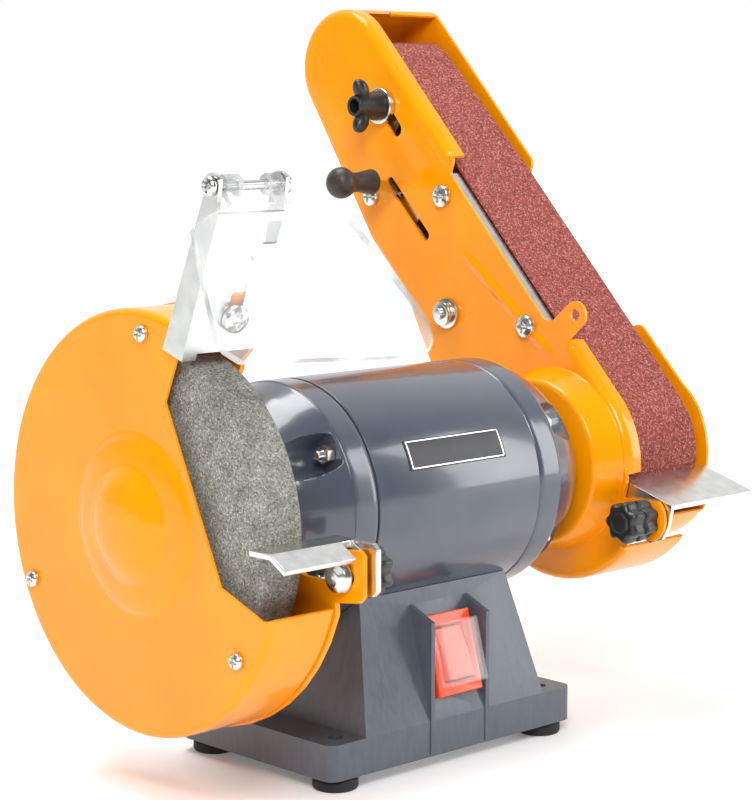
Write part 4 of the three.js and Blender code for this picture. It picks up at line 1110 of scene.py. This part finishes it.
def make_arm():
    """The arm: the side plate with its holes, drum boss and bead, the outer cover, and what bolts to them."""
    ear_u, ear_n = ear_centre()
    holes = [
        circle(0, 0, 43.2, 90),
        slot(TRACKING_KNOB[0] + 1, TRACKING_KNOB[1], 191, 27.4, 3.7),
        slot(174, 5.7, 137.5, 6.4, 2.7),
        circle(LUG[0], LUG[1], 3), circle(ear_u, ear_n, 3.4),
        *[circle(u, n, BOLT_HOLE_R) for u, n in (YOKE_BOLT_LOW, YOKE_BOLT_HIGH, *PLATEN_SCREWS)],
    ]
    plate = pan("sander_side_plate_piece", plate_outline(), ARM_X, 1, plate_wall, 4.6, holes)
    fit(plate, "sander_side_plate", PAINT)
    boss = soften(
        [(118.3, 43.4), (117.0, 45.2), (116.6, 44.6), (101.6, 39.8), (101.6, 18.0), (103.1, 18.0),
         (103.1, 38.6), (118.3, 43.4)], 2.2, 6,
    )
    boss[:, 0] = np.clip(boss[:, 0], 101.5, 118.4)
    boss[-1] = boss[0]
    add(turned("drum_side_boss", boss, 160, sharp=60), "sander_side_plate", PAINT)
    add(thicken(bead("pressed_bead", (116, 21), (34, 33), 4.2, 1.3), 0.5), "sander_side_plate", PAINT)
    cover = pan("sander_cover_piece", cover_outline(), ARM_X + ARM_DEPTH, -1, cover_wall, 3.0)
    fit(cover, "sander_cover", PAINT)
    fit(bevel(refined("platen"), 0.3), "platen", ZINC)
    fit(bevel(refined("idler_yoke"), 0.4), "idler_yoke", ZINC)
    for index, centre in enumerate(PLATEN_SCREWS):
        name = f"platen_screw_{index + 1}"
        profile = soften(
            [(112.8, 0), (113.0, 3.2), (114.6, 5.5), (116.7, 6.0), (116.7, 3.0), (122.3, 3.0), (122.3, 5.0),
             (125.0, 5.0), (125.0, 0)], 0.5, 3,
        )
        screw = turned(name + "_piece", profile, 96, arm_point(*centre), step=0.35, recess=(1.6, 0.7, 3.4))
        fit(screw, name, ZINC)
    low = soften(
        [(108.5, 0), (108.5, 2.6), (109.0, 3.0), (111.0, 3.0), (111.0, 5.2), (111.5, 6.0), (114.3, 6.0),
         (114.8, 5.2), (114.8, 7.6), (116.7, 7.6), (116.7, 3.0), (124.0, 3.0), (124.0, 6.4), (126.8, 6.4),
         (126.8, 0)], 0.15, 2,
    )
    fit(turned("yoke_bolt_low_piece", low, 72, arm_point(*YOKE_BOLT_LOW)), "yoke_bolt_low", ZINC)
    high = soften(
        [(113.4, 0), (113.6, 3.0), (115.0, 4.9), (116.7, 5.4), (116.7, 3.0), (124.0, 3.0), (124.0, 5.0),
         (126.8, 5.0), (126.8, 0)], 0.4, 3,
    )
    at = arm_point(*YOKE_BOLT_HIGH)
    bolt = turned("yoke_bolt_high_piece", high, 96, at, step=0.35, recess=(1.4, 0.6, 3.0))
    fit(bolt, "yoke_bolt_high", ZINC)


def make_lever():
    """The tension lever and its grip, a turned pear shape."""
    fit(bevel(refined("tension_lever"), 0.5), "tension_lever", ZINC)
    profile = soften(
        [(68.8, 0), (69.2, 3.2), (71.2, 6.3), (74.4, 8.0), (77.6, 7.9), (80.4, 6.6), (82.8, 5.1), (87.0, 5.0),
         (92.0, 5.8), (96.9, 6.6), (97.9, 5.8), (97.9, 0)], 1.4, 5,
    )
    fit(turned("lever_grip_piece", profile, 64, arm_point(*LEVER), step=0.8, sharp=60), "lever_grip", GRIP)


def make_tracking_knob():
    """A wing nut: a flared hub with a sunk end, and two wings, flattened ellipsoids that stand off it."""
    at = arm_point(*TRACKING_KNOB)
    hub = soften(
        [(103.0, 0), (103.0, 3.2), (96.6, 3.8), (96.4, 5.2), (100.0, 5.8), (106.0, 6.6), (110.0, 7.4),
         (113.0, 7.6), (113.0, 2.9), (126.0, 2.9), (126.0, 0)], 0.8, 4,
    )
    knob = turned("tracking_knob_piece", hub, 64, at, step=0.8, sharp=50)
    fit(knob, "tracking_knob", PHENOLIC)
    for word, degrees in (("up", 98), ("down", 262)):
        turn = math.radians(degrees)
        outward = np.array((0.0, math.cos(turn), math.sin(turn)))
        sideways = np.array((0.0, -math.sin(turn), math.cos(turn)))
        around = np.linspace(0, 2 * math.pi, 48, endpoint=False)[None, :]
        up = np.linspace(0, 1, 24)[:, None]
        # The wing's section is an ellipse that narrows at its root and closes in a round tip.
        tip = np.sqrt(np.clip(1 - ((up - 0.45) / 0.55).clip(0) ** 2.4, 0, 1))
        size = tip * (0.72 + 0.28 * ease(0, 0.5, up))
        lean = -3.6 * up
        points = (
            np.array((102.3, at[0], at[1]))
            + (4.6 * size * np.cos(around) + lean)[..., None] * AXIS_X
            + (3.9 * size * np.sin(around))[..., None] * sideways
            + (2.5 + 11.4 * up + 0 * around)[..., None] * outward
        )
        wing = grid_mesh("tracking_wing_" + word, points, wrap_columns=True, sharp=60)
        add(wing, "tracking_knob", PHENOLIC)
    washer = soften(
        [(113.2, 3.0), (113.2, 8.8), (113.6, 9.3), (116.6, 9.3), (116.6, 3.0), (113.2, 3.0)], 0.3, 3
    )
    add(turned("tracking_washer", washer, 64, at), "tracking_knob", ZINC)


def make_belt_rest():
    """The belt's rest and the knob that clamps it."""
    fit(bevel(refined("belt_rest"), 0.5), "belt_rest", ZINC)
    knob = star_knob("belt_rest_knob", 107.5, 97.5, BELT_KNOB, 116.6, 8.6, 9.2)
    fit(knob, "belt_rest_knob", PHENOLIC)


def finish_hidden():
    """The CAD pieces that stay as they are get the finish of the real ones."""
    finishes = {
        "base_cover_plate": ZINC, "capacitor": PHENOLIC, "cable_inlet": RUBBER, "stator": COPPER,
        "bearing_left": STEEL, "bearing_right": STEEL, "rotor": LAMINATION, "spindle": STEEL,
        "inner_flange": STEEL, "outer_flange": STEEL, "spindle_nut_left": STEEL, "spindle_nut_right": STEEL,
        "drive_drum": ALUMINIUM, "idler_roller": PHENOLIC, "idler_axle": STEEL, "belt_rest_bolt": ZINC,
    }
    for name, finish in finishes.items():
        obj = frame["nodes"][name]
        obj.data.materials.clear()
        obj.data.materials.append(finish)
    back = bevel(refined("guard_back_plate"), 0.4)
    fit(back, "guard_back_plate", PAINT)


make_base()
make_motor()
make_nameplate()
make_wheel()
make_guard_cover()
make_guard_screws()
make_shield()
make_left_rest()
make_belt()
make_arm()
make_lever()
make_tracking_knob()
make_belt_rest()
finish_hidden()

# ---------------------------------------------------------------- floor, light and camera


def make_floor():
    # A white studio floor with a painted glow, fainter near the object and stronger away from it: dull,
    # nearly white.
    made, tree, shader, coords = material(
        "studio_floor",
        {"Metallic": 0.0, "Roughness": 0.9, "Specular IOR Level": 0.0, "Emission Color": (1, 1, 1, 1)},
    )
    away = node(tree, "ShaderNodeVectorMath", settings={"operation": "LENGTH"}, links={0: (coords, "Object")})
    # Painted glow: emission that brightens the floor away from the object and stays faint near it.
    painted_glow = node(
        tree,
        "ShaderNodeMapRange",
        inputs={"From Min": 0.3, "From Max": 4.0, "To Min": 0.14, "To Max": 0.75},
        links={"Value": (away, "Value")},
    )
    tree.links.new(painted_glow.outputs["Result"], shader.inputs["Emission Strength"])
    cloud = node(
        tree,
        "ShaderNodeTexNoise",
        inputs={"Scale": per_mm(900), "Detail": 1.0},
        links={"Vector": (coords, "Object")},
    )
    drive(tree, shader, cloud, "Fac", stops=[(0.3, "#F4F4F4"), (0.7, "#F8F8F8")])
    mesh = bpy.data.meshes.new("studio_floor")
    size = 40.0
    corners = [(-size, -size, 0), (size, -size, 0), (size, size, 0), (-size, size, 0)]
    mesh.from_pydata(corners, [], [(0, 1, 2, 3)])
    floor = link("studio_floor", mesh)
    mesh.materials.append(made)


def looking(position, way):
    """Where a lamp or a camera stands, looking along `way`."""
    return Matrix.Translation(Vector(position)) @ way.to_track_quat("-Z", "Y").to_matrix().to_4x4()


def soft_light(name, position, target, size, power):
    """A rectangular area light at `position`, facing `target`, in metres."""
    data = bpy.data.lights.new(name, "AREA")
    data.shape = "RECTANGLE"
    data.size, data.size_y = size
    data.energy = power
    light = bpy.data.objects.new(name, data)
    light.matrix_world = looking(position, Vector(target) - Vector(position))
    bpy.context.scene.collection.objects.link(light)


def make_light():
    # The studio is white behind the object and greyer on the side of the lamps, in a smooth sweep.
    world = bpy.data.worlds.new("studio")
    world.use_nodes = True
    tree = world.node_tree
    background = tree.nodes["Background"]
    coords = node(tree, "ShaderNodeTexCoord")
    sweep = node(
        tree,
        "ShaderNodeVectorMath",
        settings={"operation": "DOT_PRODUCT"},
        inputs={1: (0.62, 0.72, 0.3)},
        links={0: (coords, "Generated")},
    )
    shade = node(
        tree,
        "ShaderNodeMapRange",
        settings={"interpolation_type": "SMOOTHSTEP"},
        inputs={"From Min": 0.1, "From Max": 0.8, "To Min": 0.16, "To Max": 1.0},
        links={"Value": (sweep, "Value")},
    )
    tree.links.new(shade.outputs["Result"], background.inputs["Color"])
    background.inputs["Strength"].default_value = 1.0
    bpy.context.scene.world = world
    bpy.context.scene.view_settings.view_transform = "Standard"
    middle = (0.0, 0.0, 0.15)
    soft_light("key", (-1.15, -1.25, 1.35), middle, (0.7, 0.9), 30)
    soft_light("fill", (1.4, -1.2, 0.7), middle, (0.5, 1.3), 12)
    soft_light("top", (-0.1, 0.35, 1.8), middle, (1.2, 0.8), 24)


def make_camera():
    """The camera: its lens, and its place and direction from the middle of the motor."""
    data = bpy.data.cameras.new("camera")
    data.lens = 104.3
    data.sensor_width = 36.0
    data.shift_x = -0.0047
    data.shift_y = 0.003
    data.clip_start = 0.05
    camera = bpy.data.objects.new("camera", data)
    turn, drop = math.radians(43.42), math.radians(7.63)
    forward = Vector((math.sin(turn) * math.cos(drop), math.cos(turn) * math.cos(drop), -math.sin(drop)))
    eye = MOTOR_MIDDLE + np.array((-712.3, -753.2, 177.0)) * MM
    camera.matrix_world = looking(eye, forward)
    bpy.context.scene.collection.objects.link(camera)
    bpy.context.scene.camera = camera


make_floor()
make_light()
make_camera()
